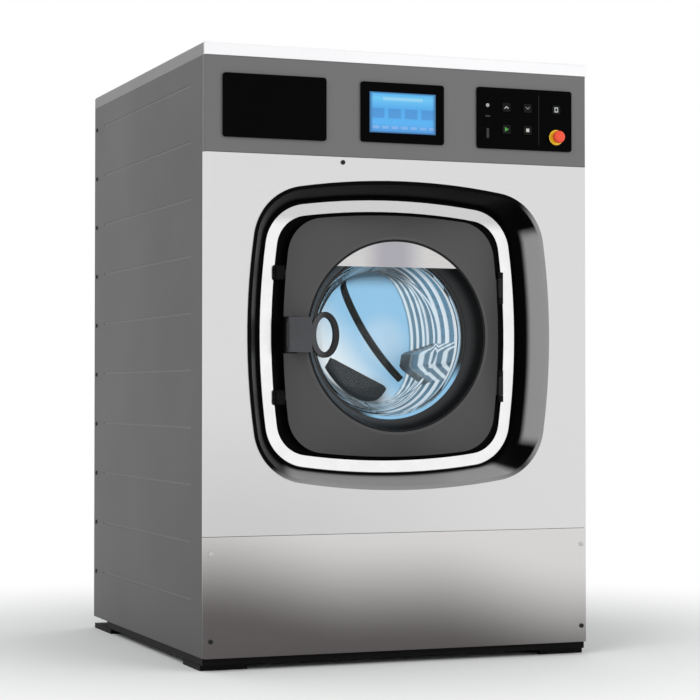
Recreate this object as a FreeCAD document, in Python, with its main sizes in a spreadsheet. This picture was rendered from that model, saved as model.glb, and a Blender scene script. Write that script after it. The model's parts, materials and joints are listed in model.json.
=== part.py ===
import FreeCAD, Part
import math
import os
import re
from types import SimpleNamespace

import Sketcher

# Commercial front-loading washer-extractor, in millimetres.
# +Z is up, the front faces -Y, and the origin is the centre of the floor anchor holes.

doc = FreeCAD.newDocument("washer_extractor")
sheet = doc.addObject("Spreadsheet::Sheet", "sizes")

driving = {
    # cabinet
    "cabinet_width": 900,
    "cabinet_depth": 930,
    "panel_bottom": 28,
    "seam_height": 283,
    "fascia_bottom": 1095,
    "fascia_top": 1300,
    "lid_height": 28,
    "lid_edge_radius": 5,
    "sheet": 1.5,
    "panel_joint": 1,
    "corner_radius": 9,
    "corner_depth": 14,
    "panel_screw_edge": 15,
    "rear_return": 30,
    "swage_count": 10,
    "swage_top_gap": 56.4,
    "swage_first": 142,
    "swage_height": 5,
    "swage_depth": 0.8,
    "swage_inset": 95,
    "trim_thickness": 2,
    # frame and feet
    "foot_thickness": 12,
    "foot_width": 105,
    "foot_length": 125,
    "foot_setback": 27,
    "rear_foot_setback": 10,
    "rear_foot_length": 155,
    "anchor_inset_x": 85,
    "anchor_inset_y": 65,
    "anchor_radius": 9,
    "rail_width": 60,
    "rail_height": 60,
    "plinth_setback": 15,
    "lug_length": 125,
    "lug_lift": 16,
    "cross_width": 50,
    "post_size": 40,
    "cradle_thickness": 8,
    "cradle_half_width": 215,
    "cradle_window": 130,
    "cradle_window_top": 296,
    "cradle_front_inset": 215,
    "cradle_rear_inset": 335,
    "motor_rail_inset": 175,
    # door surround
    "door_height": 711,
    "bow_radius": 1500,
    "recess_margin_x": 50.5,
    "recess_margin_z": 34.5,
    "opening_corner": 125,
    "flange_width": 5,
    "flange_thickness": 1.5,
    "recess_depth": 76,
    "recess_taper_x": 38,
    "recess_taper_z": 22,
    "floor_corner": 104,
    "surround_wall": 3,
    "mouth_step": 2,
    "ring_clearance_x": 20.5,
    "ring_clearance_z": 7.5,
    "ring_band": 29,
    "ring_corner": 100,
    "ring_thickness": 6,
    "ring_round": 2.5,
    # door
    "face_width": 510,
    "face_height": 530,
    "face_corner": 85,
    "face_edge_depth": 54,
    "face_front_depth": 26,
    "face_thickness": 3,
    "porthole_margin": 44,
    "land_width": 6,
    "rim_inset": 5,
    "rim_thickness": 20,
    "boss_gap": 6,
    "boss_length": 18,
    "boss_wall": 5,
    "funnel_wall": 4.5,
    "funnel_step": 6,
    "funnel_depth": 56,
    "funnel_taper": 34,
    "glass_thickness": 6,
    "glass_bowl_taper": 22,
    "glass_bowl_depth": 70,
    "glass_dome": 50,
    "clamp_ring_thickness": 6,
    "clamp_ring_step": 2,
    "crescent_chord": 150,
    "crescent_thickness": 3,
    "crescent_setback": 1,
    "buffer_radius": 8,
    "buffer_spacing": 270,
    # hinge
    "hinge_outset": 6,
    "hinge_axis_depth": 56,
    "hinge_spacing": 220,
    "hinge_radius": 7,
    "hinge_pin_radius": 4,
    "hinge_knuckle": 40,
    "hinge_ear": 15,
    "hinge_base": 6,
    # handle
    "handle_pivot_inset": 15,
    "handle_pivot_depth": 30,
    "handle_pin_radius": 4,
    "handle_barrel_radius": 8,
    "handle_ear": 10,
    "handle_height": 76,
    "handle_front_depth": 8,
    "handle_block_depth": 13.5,
    "handle_block_outset": 0,
    "handle_block_inset": 50,
    "handle_loop_inset": 111,
    "handle_loop_lap": 2,
    "handle_loop_height": 99,
    "handle_loop_band": 12,
    "handle_notch_inset": 27,
    "handle_notch_height": 80,
    # door lock
    "tongue_inset": 21,
    "tongue_thickness": 8,
    "tongue_height": 40,
    "tongue_length": 36,
    "tongue_eye": 15,
    "bolt_reach": 24,
    "lock_slot_width": 22,
    "lock_slot_height": 52,
    "lock_outset": 46,
    "lock_inset": 41,
    "lock_height": 90,
    "lock_depth": 46,
    "bolt_radius": 6,
    "bolt_length": 29,
    "bolt_setback": 3,
    # tub and drum
    "tub_radius": 375,
    "tub_wall": 3,
    "tub_front_depth": 130,
    "drive_space": 257,
    "tub_back_thickness": 6,
    "gasket_wall": 15.7,
    "gasket_skirt": 3,
    "gasket_lip": 6,
    "drum_gap": 37,
    "drum_wall": 2,
    "drum_tail": 23,
    "drum_front_depth": 150,
    "drum_mouth_step": 4,
    "drum_lip": 14,
    "drum_bead_count": 5,
    "drum_bead_height": 3,
    "drum_bead_width": 24,
    "lifter_base": 110,
    "lifter_crest": 44,
    "lifter_height": 84,
    "lifter_end_gap": 30,
    "spider_thickness": 15,
    "spider_arm_width": 70,
    "spider_hub_radius": 70,
    "drum_back_thickness": 3,
    # drive
    "shaft_radius": 35,
    "shaft_length": 215,
    "bearing_radius": 62,
    "bearing_width": 26,
    "seal_width": 14,
    "housing_radius": 78,
    "housing_flange_radius": 150,
    "housing_flange": 16,
    "housing_length": 118,
    "pulley_radius": 230,
    "pulley_width": 48,
    "pulley_rim": 14,
    "pulley_web": 10,
    "pulley_hub_radius": 58,
    "pulley_groove": 6,
    "motor_pulley_radius": 42,
    "motor_height": 182,
    "motor_radius": 95,
    "motor_length": 250,
    "motor_shaft_radius": 14,
    "motor_bed": 6,
    "motor_bed_width": 260,
    "motor_foot_width": 150,
    "motor_gap": 24,
    "motor_terminal": 70,
    "motor_terminal_length": 110,
    "motor_terminal_reach": 45,
    "motor_terminal_offset": 85,
    "belt_thickness": 8,
    "belt_width": 11,
    "belt_count": 3,
    "belt_pitch": 14,
    # fits
    "running_fit": 0.05,
    "seat_gap": 0.3,
    "key_fit": 0.4,
    # water and drain
    "valve_inset": 160,
    "valve_spacing": 100,
    "valve_drop": 100,
    "valve_body": 56,
    "valve_depth": 60,
    "inlet_radius": 13.2,
    "inlet_length": 25,
    "inlet_neck": 12,
    "hose_radius": 11,
    "hose_bore": 8,
    "soap_hose_offset": 89,
    "soap_hose_radius": 21,
    "drain_valve_inset": 315,
    "drain_branch": 15,
    "drain_actuator": 70,
    "drain_actuator_drop": 20,
    "drain_valve_radius": 45,
    "drain_height": 165,
    "drain_inset": 160,
    "drain_radius": 37.5,
    "drain_bore": 34,
    "drain_bend": 90,
    "drain_spigot_radius": 38.5,
    "drain_spigot_length": 50,
    # fascia pieces
    "plate_width": 233,
    "plate_height": 136,
    "plate_inset": 156,
    "plate_drop": 2.5,
    "plate_thickness": 5,
    "plate_lap": 3,
    "plate_corner": 6,
    "drawer_width": 212,
    "drawer_height": 108,
    "drawer_length": 258,
    "drawer_wall": 2.5,
    "drawer_clearance": 3,
    "soap_box_wall": 3,
    "soap_box_length": 284,
    "runner_width": 12,
    "bezel_width": 196,
    "bezel_height": 131,
    "screen_width": 156,
    "screen_height": 89,
    "screen_thickness": 1.5,
    "key_size": 20,
    "key_proud": 3,
    "key_depth": 6,
    "key_corner": 3,
    "key_column_a": -46,
    "key_column_b": 6,
    "key_column_c": 77,
    "key_row_high": 25,
    "key_row_low": -24,
    "estop_row": -37,
    "estop_collar_radius": 17,
    "estop_collar": 3,
    "estop_head_radius": 14,
    "estop_head": 13,
    "estop_stem_radius": 7.5,
    "estop_lift": 8,
    # rear
    "cover_width": 470,
    "cover_low": 180,
    "cover_high": 940,
    "cover_lap": 18,
    "louvre_count": 8,
    "louvre_width": 260,
    "louvre_height": 8,
    "louvre_pitch": 26,
    "louvre_gap": 70,
    "gland_inset": 150,
    "gland_radius": 16,
    "gland_bore": 9,
    "gland_length": 26,
    "screw_radius": 5,
    "screw_height": 2,
    "screw_inset": 9,
    "panel_screw_inset": 36,
    "fascia_screw_x": 138,
    "fascia_screw_drop": 12,
    # inverter
    "inverter_width": 200,
    "inverter_depth": 180,
    "inverter_height": 190,
    "inverter_inset": 170,
}

# Sizes that follow from the driving ones, so that pieces which belong together keep together
derived = {
    "anchor_span_x": "=cabinet_width - 2 * anchor_inset_x",
    "anchor_span_y": "=cabinet_depth - 2 * anchor_inset_y",
    "cradle_front_y": "=cradle_front_inset - cabinet_depth / 2",
    "cradle_rear_y": "=cabinet_depth / 2 - cradle_rear_inset",
    "motor_rail_y": "=cabinet_depth / 2 - motor_rail_inset",
    "swage_pitch": "=(fascia_top - swage_first - swage_top_gap) / (swage_count - 1)",
    "ring_width": "=face_width + 2 * ring_clearance_x + 2 * ring_band",
    "ring_height": "=face_height + 2 * ring_clearance_z + 2 * ring_band",
    "opening_width": "=ring_width + 2 * recess_margin_x",
    "opening_height": "=ring_height + 2 * recess_margin_z",
    "porthole_radius": "=face_width / 2 - porthole_margin",
    "mouth_radius": "=porthole_radius - mouth_step",
    "boss_radius": "=mouth_radius - boss_gap",
    "rim_bore": "=boss_radius - boss_wall",
    "gasket_radius": "=mouth_radius - gasket_wall - seat_gap",
    "drum_mouth": "=mouth_radius - drum_mouth_step",
    "funnel_exit_radius": "=porthole_radius - funnel_taper",
    "clamp_ring_bore": "=funnel_exit_radius + clamp_ring_step",
    "glass_bowl_radius": "=funnel_exit_radius - glass_bowl_taper",
    "hinge_axis_x": "=face_width / 2 + hinge_outset",
    "handle_pivot_x": "=face_width / 2 - handle_pivot_inset",
    "handle_block_outer": "=face_width / 2 + handle_block_outset",
    "handle_block_inner": "=face_width / 2 - handle_block_inset",
    "handle_loop_inner": "=face_width / 2 - handle_loop_inset",
    "handle_notch_inner": "=face_width / 2 - handle_notch_inset",
    "tongue_x": "=face_width / 2 - tongue_inset",
    "lock_outer_x": "=face_width / 2 + lock_outset",
    "lock_inner_x": "=face_width / 2 - lock_inset",
    "tub_length": "=cabinet_depth - tub_front_depth - tub_wall - drive_space",
    "drum_radius": "=tub_radius - drum_gap",
    "drum_length": "=cabinet_depth - drum_front_depth - drive_space - drum_tail",
    "lifter_length": "=drum_length - 2 * lifter_end_gap",
    "plate_x": "=cabinet_width / 2 - plate_inset",
    "plate_z": "=(fascia_bottom + fascia_top) / 2 - plate_drop",
    "soap_hose_x": "=plate_x - soap_hose_offset",
    "valve_x": "=cabinet_width / 2 - valve_inset",
    "valve_height": "=fascia_top - valve_drop",
    "drain_x": "=cabinet_width / 2 - drain_inset",
    "drain_valve_y": "=drain_valve_inset - cabinet_depth / 2",
    "gland_x": "=cabinet_width / 2 - gland_inset",
    "inverter_x": "=cabinet_width / 2 - inverter_inset",
    "louvre_first": "=cover_high + louvre_gap",
}

cells = {**driving, **derived}
for row, (alias, content) in enumerate(cells.items(), start=1):
    sheet.set("A%d" % row, alias)
    sheet.set("B%d" % row, str(content))
    sheet.setAlias("B%d" % row, alias)
doc.recompute()
size = SimpleNamespace(**{alias: sheet.get(alias) for alias in cells})

# Places that many pieces share, as formulas on the sheet
front = "-cabinet_depth / 2"
rear = "cabinet_depth / 2"
half_width = "cabinet_width / 2"
frame_top = "(foot_thickness + rail_height)"
lid_top = "fascia_top + lid_height"
recess_floor = front + " + recess_depth"
rim_front = front + " + face_edge_depth"
rim_back = rim_front + " + rim_thickness"
boss_back = rim_back + " + boss_length"
funnel_back = front + " + face_front_depth + funnel_depth"
tub_front_y = front + " + tub_front_depth"
tub_shell_y = tub_front_y + " + tub_wall"
tub_back_y = tub_shell_y + " + tub_length"
housing_y = tub_back_y + " + tub_back_thickness"
drum_front_y = front + " + drum_front_depth"
drum_back_y = drum_front_y + " + drum_length"
housing_end = housing_y + " + housing_length"
pulley_y = housing_end + " + 12"
motor_pulley_z = "motor_height"

front_y = -size.cabinet_depth / 2
word = re.compile(r"[a-z_][a-z_0-9]*")
turns = {
    "x": FreeCAD.Rotation(FreeCAD.Vector(0, 1, 0), 90),
    "y": FreeCAD.Rotation(FreeCAD.Vector(1, 0, 0), -90),
    "z": FreeCAD.Rotation(),
}
nodes = []


def cell(match):
    name = match.group(0)
    return "sizes." + name if name in cells else name


def bind(item, prop, formula):
    item.setExpression(prop, word.sub(cell, formula))


def place(item, at):
    for axis, formula in zip("xyz", at):
        bind(item, "Placement.Base." + axis, formula)


def node(item, label):
    item.Label = label
    nodes.append(item)
    return item


def box(name, at, lengths):
    item = doc.addObject("Part::Box", name)
    for prop, formula in zip(("Length", "Width", "Height"), lengths):
        bind(item, prop, formula)
    place(item, at)
    return item


def rod(name, axis, at, radius, length):
    item = doc.addObject("Part::Cylinder", name)
    bind(item, "Radius", radius)
    bind(item, "Height", length)
    item.Placement.Rotation = turns[axis]
    place(item, at)
    return item


def join(name, *pieces):
    item = doc.addObject("Part::MultiFuse", name)
    item.Shapes = list(pieces)
    item.Refine = True
    return item


def cut(name, base, *tools):
    item = doc.addObject("Part::Cut", name)
    item.Base = base
    item.Tool = tools[0] if len(tools) == 1 else join(name + "_tools", *tools)
    item.Refine = True
    return item


def group(name, pieces):
    item = doc.addObject("Part::Compound", name)
    item.Links = list(pieces)
    return item


def rounded(name, base, edges, radius):
    doc.recompute()
    item = doc.addObject("Part::Fillet", name)
    item.Base = base
    item.Edges = [(number, radius, radius) for number in edges]
    return item


def edges_where(item, test):
    doc.recompute()
    return [number for number, edge in enumerate(item.Shape.Edges, start=1) if test(edge)]


def solid(name, shape):
    item = doc.addObject("Part::Feature", name)
    item.Shape = shape
    return item


# A closed sketch of straight lines whose corners are bound to the sheet
def outline(body, name, plane, corners):
    sketch = body.newObject("Sketcher::SketchObject", name)
    support = [feature for feature in body.Origin.OriginFeatures if feature.Role == plane][0]
    sketch.AttachmentSupport = (support, [""])
    sketch.MapMode = "FlatFace"
    count = len(corners)
    spread = size.cabinet_width / 10
    start = [FreeCAD.Vector(spread * (3 + math.cos(math.tau * i / count)),
                            spread * math.sin(math.tau * i / count), 0)
             for i in range(count)]
    for i in range(count):
        sketch.addGeometry(Part.LineSegment(start[i], start[(i + 1) % count]))
    for i in range(count):
        sketch.addConstraint(Sketcher.Constraint("Coincident", i, 2, (i + 1) % count, 1))
    for i, (across, along) in enumerate(corners):
        for kind, formula, value in (("DistanceX", across, start[i].x), ("DistanceY", along, start[i].y)):
            number = sketch.addConstraint(Sketcher.Constraint(kind, -1, 1, i, 1, value))
            bind(sketch, "Constraints[%d]" % number, formula)
    return sketch


# A piece turned about an axis along Y: its profile is a list of (radius, y) corners
def turned(name, axis_x, axis_z, profile):
    body = doc.addObject("PartDesign::Body", name)
    sketch = outline(body, name + "_profile", "XY_Plane", profile)
    turn = body.newObject("PartDesign::Revolution", name + "_turn")
    turn.Profile = sketch
    turn.ReferenceAxis = (sketch, ["V_Axis"])
    turn.Angle = 360
    place(body, (axis_x, "0", axis_z))
    return body


# A piece of constant section: the sketch lies on an origin plane and is padded along its normal
def padded(name, plane, corners, length, at):
    body = doc.addObject("PartDesign::Body", name)
    sketch = outline(body, name + "_section", plane, corners)
    pad = body.newObject("PartDesign::Pad", name + "_pad")
    pad.Profile = sketch
    bind(pad, "Length", length)
    place(body, at)
    return body


# Tangent arcs of a square with bowed sides, in the XZ plane about the door's centre
def bowed_corners(width, height, corner):
    bow = size.bow_radius
    side = FreeCAD.Vector(width / 2 - bow, 0, 0)
    top = FreeCAD.Vector(0, 0, height / 2 - bow)
    normal = FreeCAD.Vector(bow - height / 2, 0, bow - width / 2).normalize()
    reach = math.sqrt((bow - corner) ** 2 - (side.distanceToPoint(top) / 2) ** 2)
    middle = (side + top) * 0.5 + normal * reach
    on_side = side + (middle - side).normalize() * bow
    on_top = top + (middle - top).normalize() * bow
    return on_side, middle + normal * corner, on_top


def mirrored(point, flip_x, flip_z):
    return FreeCAD.Vector(point.x * flip_x, point.y, point.z * flip_z)


def arcs_at(triples, depth):
    shift = FreeCAD.Vector(0, front_y + depth, size.door_height)
    return Part.Wire([Part.Arc(*(point + shift for point in triple)).toShape() for triple in triples])


def bowed_square(width, height, corner, depth):
    on_side, on_corner, on_top = bowed_corners(width, height, corner)
    right = FreeCAD.Vector(width / 2, 0, 0)
    up = FreeCAD.Vector(0, 0, height / 2)
    triples = []
    for flip_x, flip_z in ((1, 1), (-1, 1), (-1, -1), (1, -1)):
        turn = [mirrored(point, flip_x, flip_z) for point in (on_side, on_corner, on_top)]
        triples.append(turn if flip_x == flip_z else turn[::-1])
    ends = [(0, up), (1, right * -1), (2, up * -1), (3, right)]
    loop = []
    for number, crown in ends:
        following = triples[(number + 1) % 4]
        loop.append(triples[number])
        loop.append([triples[number][2], crown, following[0]])
    return arcs_at(loop, depth)


# A circle split where the bowed square's arcs meet, so that the two can be lofted
def matching_circle(radius, width, height, corner, depth):
    on_side, _, on_top = bowed_corners(width, height, corner)
    low = math.atan2(on_side.z, on_side.x)
    high = math.atan2(on_top.z, on_top.x)
    angles = []
    for quarter in range(4):
        first, second = (low, high) if quarter % 2 == 0 else (math.pi / 2 - high, math.pi / 2 - low)
        angles += [quarter * math.pi / 2 + first, quarter * math.pi / 2 + second]
    angles.append(angles[0] + math.tau)
    loop = []
    for begin, end in zip(angles, angles[1:]):
        steps = (begin, (begin + end) / 2, end)
        loop.append([FreeCAD.Vector(radius * math.cos(a), 0, radius * math.sin(a)) for a in steps])
    return arcs_at(loop, depth)


def bowed_block(width, height, corner, depth, length):
    face = Part.Face(bowed_square(width, height, corner, depth))
    return face.extrude(FreeCAD.Vector(0, length, 0))


# A tube along straight runs joined by tangent arcs
def bent_tube(points, bend, radius, bore):
    edges = []
    start = points[0]
    for before, corner, after in zip(points, points[1:], points[2:]):
        into = (corner - before).normalize()
        out = (after - corner).normalize()
        reach = bend * math.tan(into.getAngle(out) / 2)
        begin = corner - into * reach
        end = corner + out * reach
        middle = corner + (out - into).normalize() * (bend / math.cos(into.getAngle(out) / 2) - bend)
        edges += [Part.makeLine(start, begin), Part.Arc(begin, middle, end).toShape()]
        start = end
    edges.append(Part.makeLine(start, points[-1]))
    path = Part.Wire(edges)
    heading = (points[1] - points[0]).normalize()
    shapes = []
    for circle_radius in (radius, bore):
        circle = Part.Wire(Part.Circle(points[0], heading, circle_radius).toShape())
        shapes.append(path.makePipeShell([circle], True, True))
    return shapes[0].cut(shapes[1])


# Welded frame: stepped side rails, cross rails, corner posts and two tub cradles
def build_frame():
    rail_x = half_width + " - sheet - rail_width"
    rail_start = front + " + plinth_setback"
    rail_end = rear + " - lug_length"
    inner = "cabinet_width - 2 * sheet - 2 * rail_width"
    members = []
    for side, x in (("left", "-(" + half_width + " - sheet)"), ("right", rail_x)):
        profile = (
            (rail_start, "foot_thickness"),
            (rail_end, "foot_thickness"),
            (rail_end, "foot_thickness + lug_lift"),
            (rear + " - sheet", "foot_thickness + lug_lift"),
            (rear + " - sheet", frame_top),
            (rail_start, frame_top),
        )
        members.append(padded("rail_" + side, "YZ_Plane", profile, "rail_width", (x, "0", "0")))
    crosses = {
        "cross_front": (rail_start, "foot_thickness", "rail_height"),
        "cross_cradle_front": ("cradle_front_y - cross_width / 2", "foot_thickness + lug_lift",
                               "rail_height - lug_lift"),
        "cross_cradle_rear": ("cradle_rear_y - cross_width / 2", "foot_thickness + lug_lift",
                              "rail_height - lug_lift"),
        "cross_motor": ("motor_rail_y - cross_width / 2", "foot_thickness + lug_lift",
                        "rail_height - lug_lift"),
        "cross_rear": (rear + " - sheet - cross_width", "foot_thickness + lug_lift",
                       "rail_height - lug_lift"),
    }
    for name, (y, z, height) in crosses.items():
        members.append(box(name, ("-(" + inner + ") / 2", y, z), (inner, "cross_width", height)))
    posts = {
        "front": (front + " + sheet", "corner_radius", "(post_size + sheet - corner_radius)"),
        "rear": (rear + " - sheet - post_size", "sheet", "post_size"),
    }
    for end, (y, inset, width) in posts.items():
        for side, x in (("left", "-(" + half_width + " - " + inset + ")"),
                        ("right", half_width + " - " + inset + " - " + width)):
            members.append(box("post_%s_%s" % (end, side), (x, y, frame_top),
                               (width, "post_size", "fascia_top - " + frame_top)))
    tub_space = rod("cradle_tub_space", "y", ("0", front, "door_height"),
                    "tub_radius + tub_wall + seat_gap", "cabinet_depth")
    for end in ("front", "rear"):
        y = "cradle_%s_y - cradle_thickness / 2" % end
        plate = box("cradle_plate_" + end, ("-cradle_half_width", y, frame_top),
                    ("2 * cradle_half_width", "cradle_thickness",
                     "door_height - tub_radius / 2 - " + frame_top))
        window = box("cradle_window_" + end, ("-cradle_window", y, frame_top),
                     ("2 * cradle_window", "cradle_thickness", "cradle_window_top - " + frame_top))
        members.append(cut("cradle_" + end, plate, tub_space, window))
    node(join("frame", *members), "base_frame")


def build_feet():
    plates = []
    for side, x in (("left", "-" + half_width), ("right", half_width + " - foot_width")):
        for end, y, hole_y in (
            ("front", front + " + foot_setback", "-anchor_span_y / 2"),
            ("rear", rear + " - rear_foot_setback - rear_foot_length", "anchor_span_y / 2"),
        ):
            length = "foot_length" if end == "front" else "rear_foot_length"
            name = "%s_%s" % (end, side)
            plate = box("foot_" + name, (x, y, "0"), ("foot_width", length, "foot_thickness"))
            hole_x = ("-" if side == "left" else "") + "anchor_span_x / 2"
            hole = rod("anchor_" + name, "z", (hole_x, hole_y, "0"), "anchor_radius", "foot_thickness")
            plates.append(cut("foot_plate_" + name, plate, hole))
    node(group("feet", plates), "foot_plates")


# Side panel: folded sheet with front and rear returns and a column of pressed lines
def build_side(side, sign):
    outer = sign + "(" + half_width + ")"
    inner = sign + "(" + half_width + " - sheet)"
    rear_edge = sign + "(" + half_width + " - rear_return)"
    start = front + " + corner_depth + panel_joint"
    section = (
        (outer, start),
        (outer, rear),
        (rear_edge, rear),
        (rear_edge, rear + " - sheet"),
        (inner, rear + " - sheet"),
        (inner, start),
    )
    body = padded("side_" + side, "XY_Plane", section, "fascia_top - panel_bottom",
                  ("0", "0", "panel_bottom"))
    swage = outline(body, "swage_" + side, "YZ_Plane", (
        (front + " + swage_inset", "swage_first - panel_bottom"),
        (rear + " - swage_inset", "swage_first - panel_bottom"),
        (rear + " - swage_inset", "swage_first - panel_bottom + swage_height"),
        (front + " + swage_inset", "swage_first - panel_bottom + swage_height"),
    ))
    bind(swage, "AttachmentOffset.Base.z", outer)
    doc.recompute()
    groove = body.newObject("PartDesign::Pocket", "swage_pocket_" + side)
    groove.Profile = swage
    groove.Reversed = side == "left"
    bind(groove, "Length", "swage_depth")
    pattern = body.newObject("PartDesign::LinearPattern", "swage_pattern_" + side)
    pattern.Originals = [groove]
    pattern.Direction = (swage, ["V_Axis"])
    bind(pattern, "Length", "(swage_count - 1) * swage_pitch")
    bind(pattern, "Occurrences", "swage_count")
    body.Tip = pattern
    node(body, "side_panel_" + side)


def build_lid():
    shell = box("lid_block", ("-" + half_width, front, "fascia_top"),
                ("cabinet_width", "cabinet_depth", "lid_height"))
    top = size.fascia_top + size.lid_height
    edges = edges_where(shell, lambda edge: all(abs(v.Z - top) < 0.01 for v in edge.Vertexes))
    soft = rounded("lid_rounded", shell, edges, size.lid_edge_radius)
    inside = box("lid_inside", ("-" + half_width + " + sheet", front + " + sheet", "fascia_top"),
                 ("cabinet_width - 2 * sheet", "cabinet_depth - 2 * sheet", "lid_height - sheet"))
    node(cut("lid", soft, inside), "top_cover")
    strip = box("trim", ("-" + half_width, front + " - trim_thickness", "fascia_top"),
                ("cabinet_width", "trim_thickness", "lid_height - lid_edge_radius"))
    node(strip, "lid_front_trim")


# A front sheet spans the whole width and is folded round both sides with a rounded edge
def front_sheet(name, low, high):
    height = high + " - (" + low + ")"
    skins = []
    for skin, inset, radius in (("outside", "0", size.corner_radius),
                                ("inside", "sheet", size.corner_radius - size.sheet)):
        blank = box(name + "_" + skin, ("-" + half_width + " + " + inset, front + " + " + inset, low),
                    ("cabinet_width - 2 * " + inset, "corner_depth", height))
        edges = edges_where(blank, lambda edge: edge.Vertexes[0].Y < front_y + size.corner_depth / 2
                            and abs(edge.Vertexes[0].Z - edge.Vertexes[-1].Z) > 1)
        skins.append(rounded(name + "_" + skin + "_folded", blank, edges, radius))
    return cut(name, *skins)


def fascia_hole(name, x, width, height):
    return box(name, (x + " - (" + width + ") / 2 + plate_lap", front,
                      "plate_z - (" + height + ") / 2 + plate_lap"),
               (width + " - 2 * plate_lap", "sheet", height + " - 2 * plate_lap"))


def build_front_panels():
    fascia = front_sheet("fascia_sheet", "fascia_bottom + panel_joint / 2", "fascia_top")
    node(cut("fascia", fascia,
             fascia_hole("soap_hole", "-plate_x", "plate_width", "plate_height"),
             fascia_hole("screen_hole", "0", "bezel_width", "bezel_height"),
             fascia_hole("key_hole", "plate_x", "plate_width", "plate_height")), "control_fascia")
    upper = front_sheet("upper_sheet", "seam_height + panel_joint / 2", "fascia_bottom - panel_joint / 2")
    lap = 2 * size.flange_width
    hole = solid("door_hole", bowed_block(size.opening_width - lap, size.opening_height - lap,
                                          size.opening_corner - size.flange_width, 0, size.sheet))
    node(cut("upper_panel", upper, hole), "upper_front_panel")
    node(front_sheet("lower_panel", "panel_bottom", "seam_height - panel_joint / 2"), "lower_service_panel")


# Door surround: lapped flange, tapered bowed walls, and a floor with the mouth and the catch slot
def build_surround():
    wall = size.surround_wall
    lap = 2 * size.flange_width + 2 * size.seat_gap
    opening = (size.opening_width - lap, size.opening_height - lap, size.opening_corner - size.flange_width)
    floor_size = (opening[0] - 2 * size.recess_taper_x, opening[1] - 2 * size.recess_taper_z,
                  size.floor_corner)
    back = size.recess_depth + wall
    outside = Part.makeLoft([bowed_square(*opening, 0), bowed_square(*floor_size, back)], True, True)
    inside = Part.makeLoft([
        bowed_square(opening[0] - 2 * wall, opening[1] - 2 * wall, opening[2] - wall,
                     -size.flange_thickness),
        bowed_square(floor_size[0] - 2 * wall, floor_size[1] - 2 * wall, floor_size[2] - wall,
                     size.recess_depth),
    ], True, True)
    flange = bowed_block(size.opening_width, size.opening_height, size.opening_corner,
                         -size.flange_thickness, size.flange_thickness)
    centre = FreeCAD.Vector(0, front_y + size.recess_depth, size.door_height)
    along = FreeCAD.Vector(0, 1, 0)
    mouth = Part.makeCylinder(size.mouth_radius, wall, centre, along)
    slot_corner = FreeCAD.Vector(-size.tongue_x - size.lock_slot_width / 2, front_y + size.recess_depth,
                                 size.door_height - size.lock_slot_height / 2)
    slot = Part.makeBox(size.lock_slot_width, wall, size.lock_slot_height, slot_corner)
    shell = outside.fuse(flange).cut([inside, mouth, slot]).removeSplitter()
    node(solid("surround", shell), "door_surround")

    band = 2 * size.ring_band
    depth = size.recess_depth - size.ring_thickness
    outer = bowed_block(size.ring_width, size.ring_height, size.ring_corner, depth, size.ring_thickness)
    inner = bowed_block(size.ring_width - band, size.ring_height - band, size.ring_corner - size.ring_band,
                        depth, size.ring_thickness)
    ring = outer.cut(inner)
    near = [edge for edge in ring.Edges if all(abs(v.Y - front_y - depth) < 0.01 for v in edge.Vertexes)]
    node(solid("ring", ring.makeFillet(size.ring_round, near)), "surround_ring")


# Hinge brackets on the surround's floor, each with two ears and a pin
def build_hinges():
    axis_y = front + " + hinge_axis_depth"
    brackets = []
    pins = []
    for place_name, sign in (("low", "-"), ("high", "+")):
        z = "door_height %s hinge_spacing / 2" % sign
        pieces = []
        for ear, low in (("under", z + " - hinge_knuckle / 2 - hinge_ear - seat_gap"),
                         ("over", z + " + hinge_knuckle / 2 + seat_gap")):
            name = "hinge_%s_%s" % (place_name, ear)
            barrel = rod(name + "_barrel", "z", ("hinge_axis_x", axis_y, low), "hinge_radius", "hinge_ear")
            web = box(name + "_web", ("hinge_axis_x - hinge_radius", axis_y, low),
                      ("2 * hinge_radius", "recess_depth - hinge_axis_depth", "hinge_ear"))
            pieces += [barrel, web]
        length = "hinge_knuckle + 2 * hinge_ear + 2 * seat_gap"
        base = box("hinge_%s_base" % place_name,
                   ("hinge_axis_x - hinge_radius", recess_floor + " - hinge_base",
                    z + " - (" + length + ") / 2"),
                   ("2 * hinge_radius", "hinge_base", length))
        bore = rod("hinge_%s_bore" % place_name, "z",
                   ("hinge_axis_x", axis_y, z + " - (" + length + ") / 2"),
                   "hinge_pin_radius + running_fit", length)
        brackets.append(cut("hinge_bracket_" + place_name,
                            join("hinge_ears_" + place_name, base, *pieces), bore))
        pins.append(rod("hinge_pin_" + place_name, "z",
                        ("hinge_axis_x", axis_y, z + " - (" + length + ") / 2"),
                        "hinge_pin_radius", length))
    node(group("hinge_bracket_pair", brackets), "hinge_brackets")
    node(group("hinge_pin_pair", pins), "hinge_pins")


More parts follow.
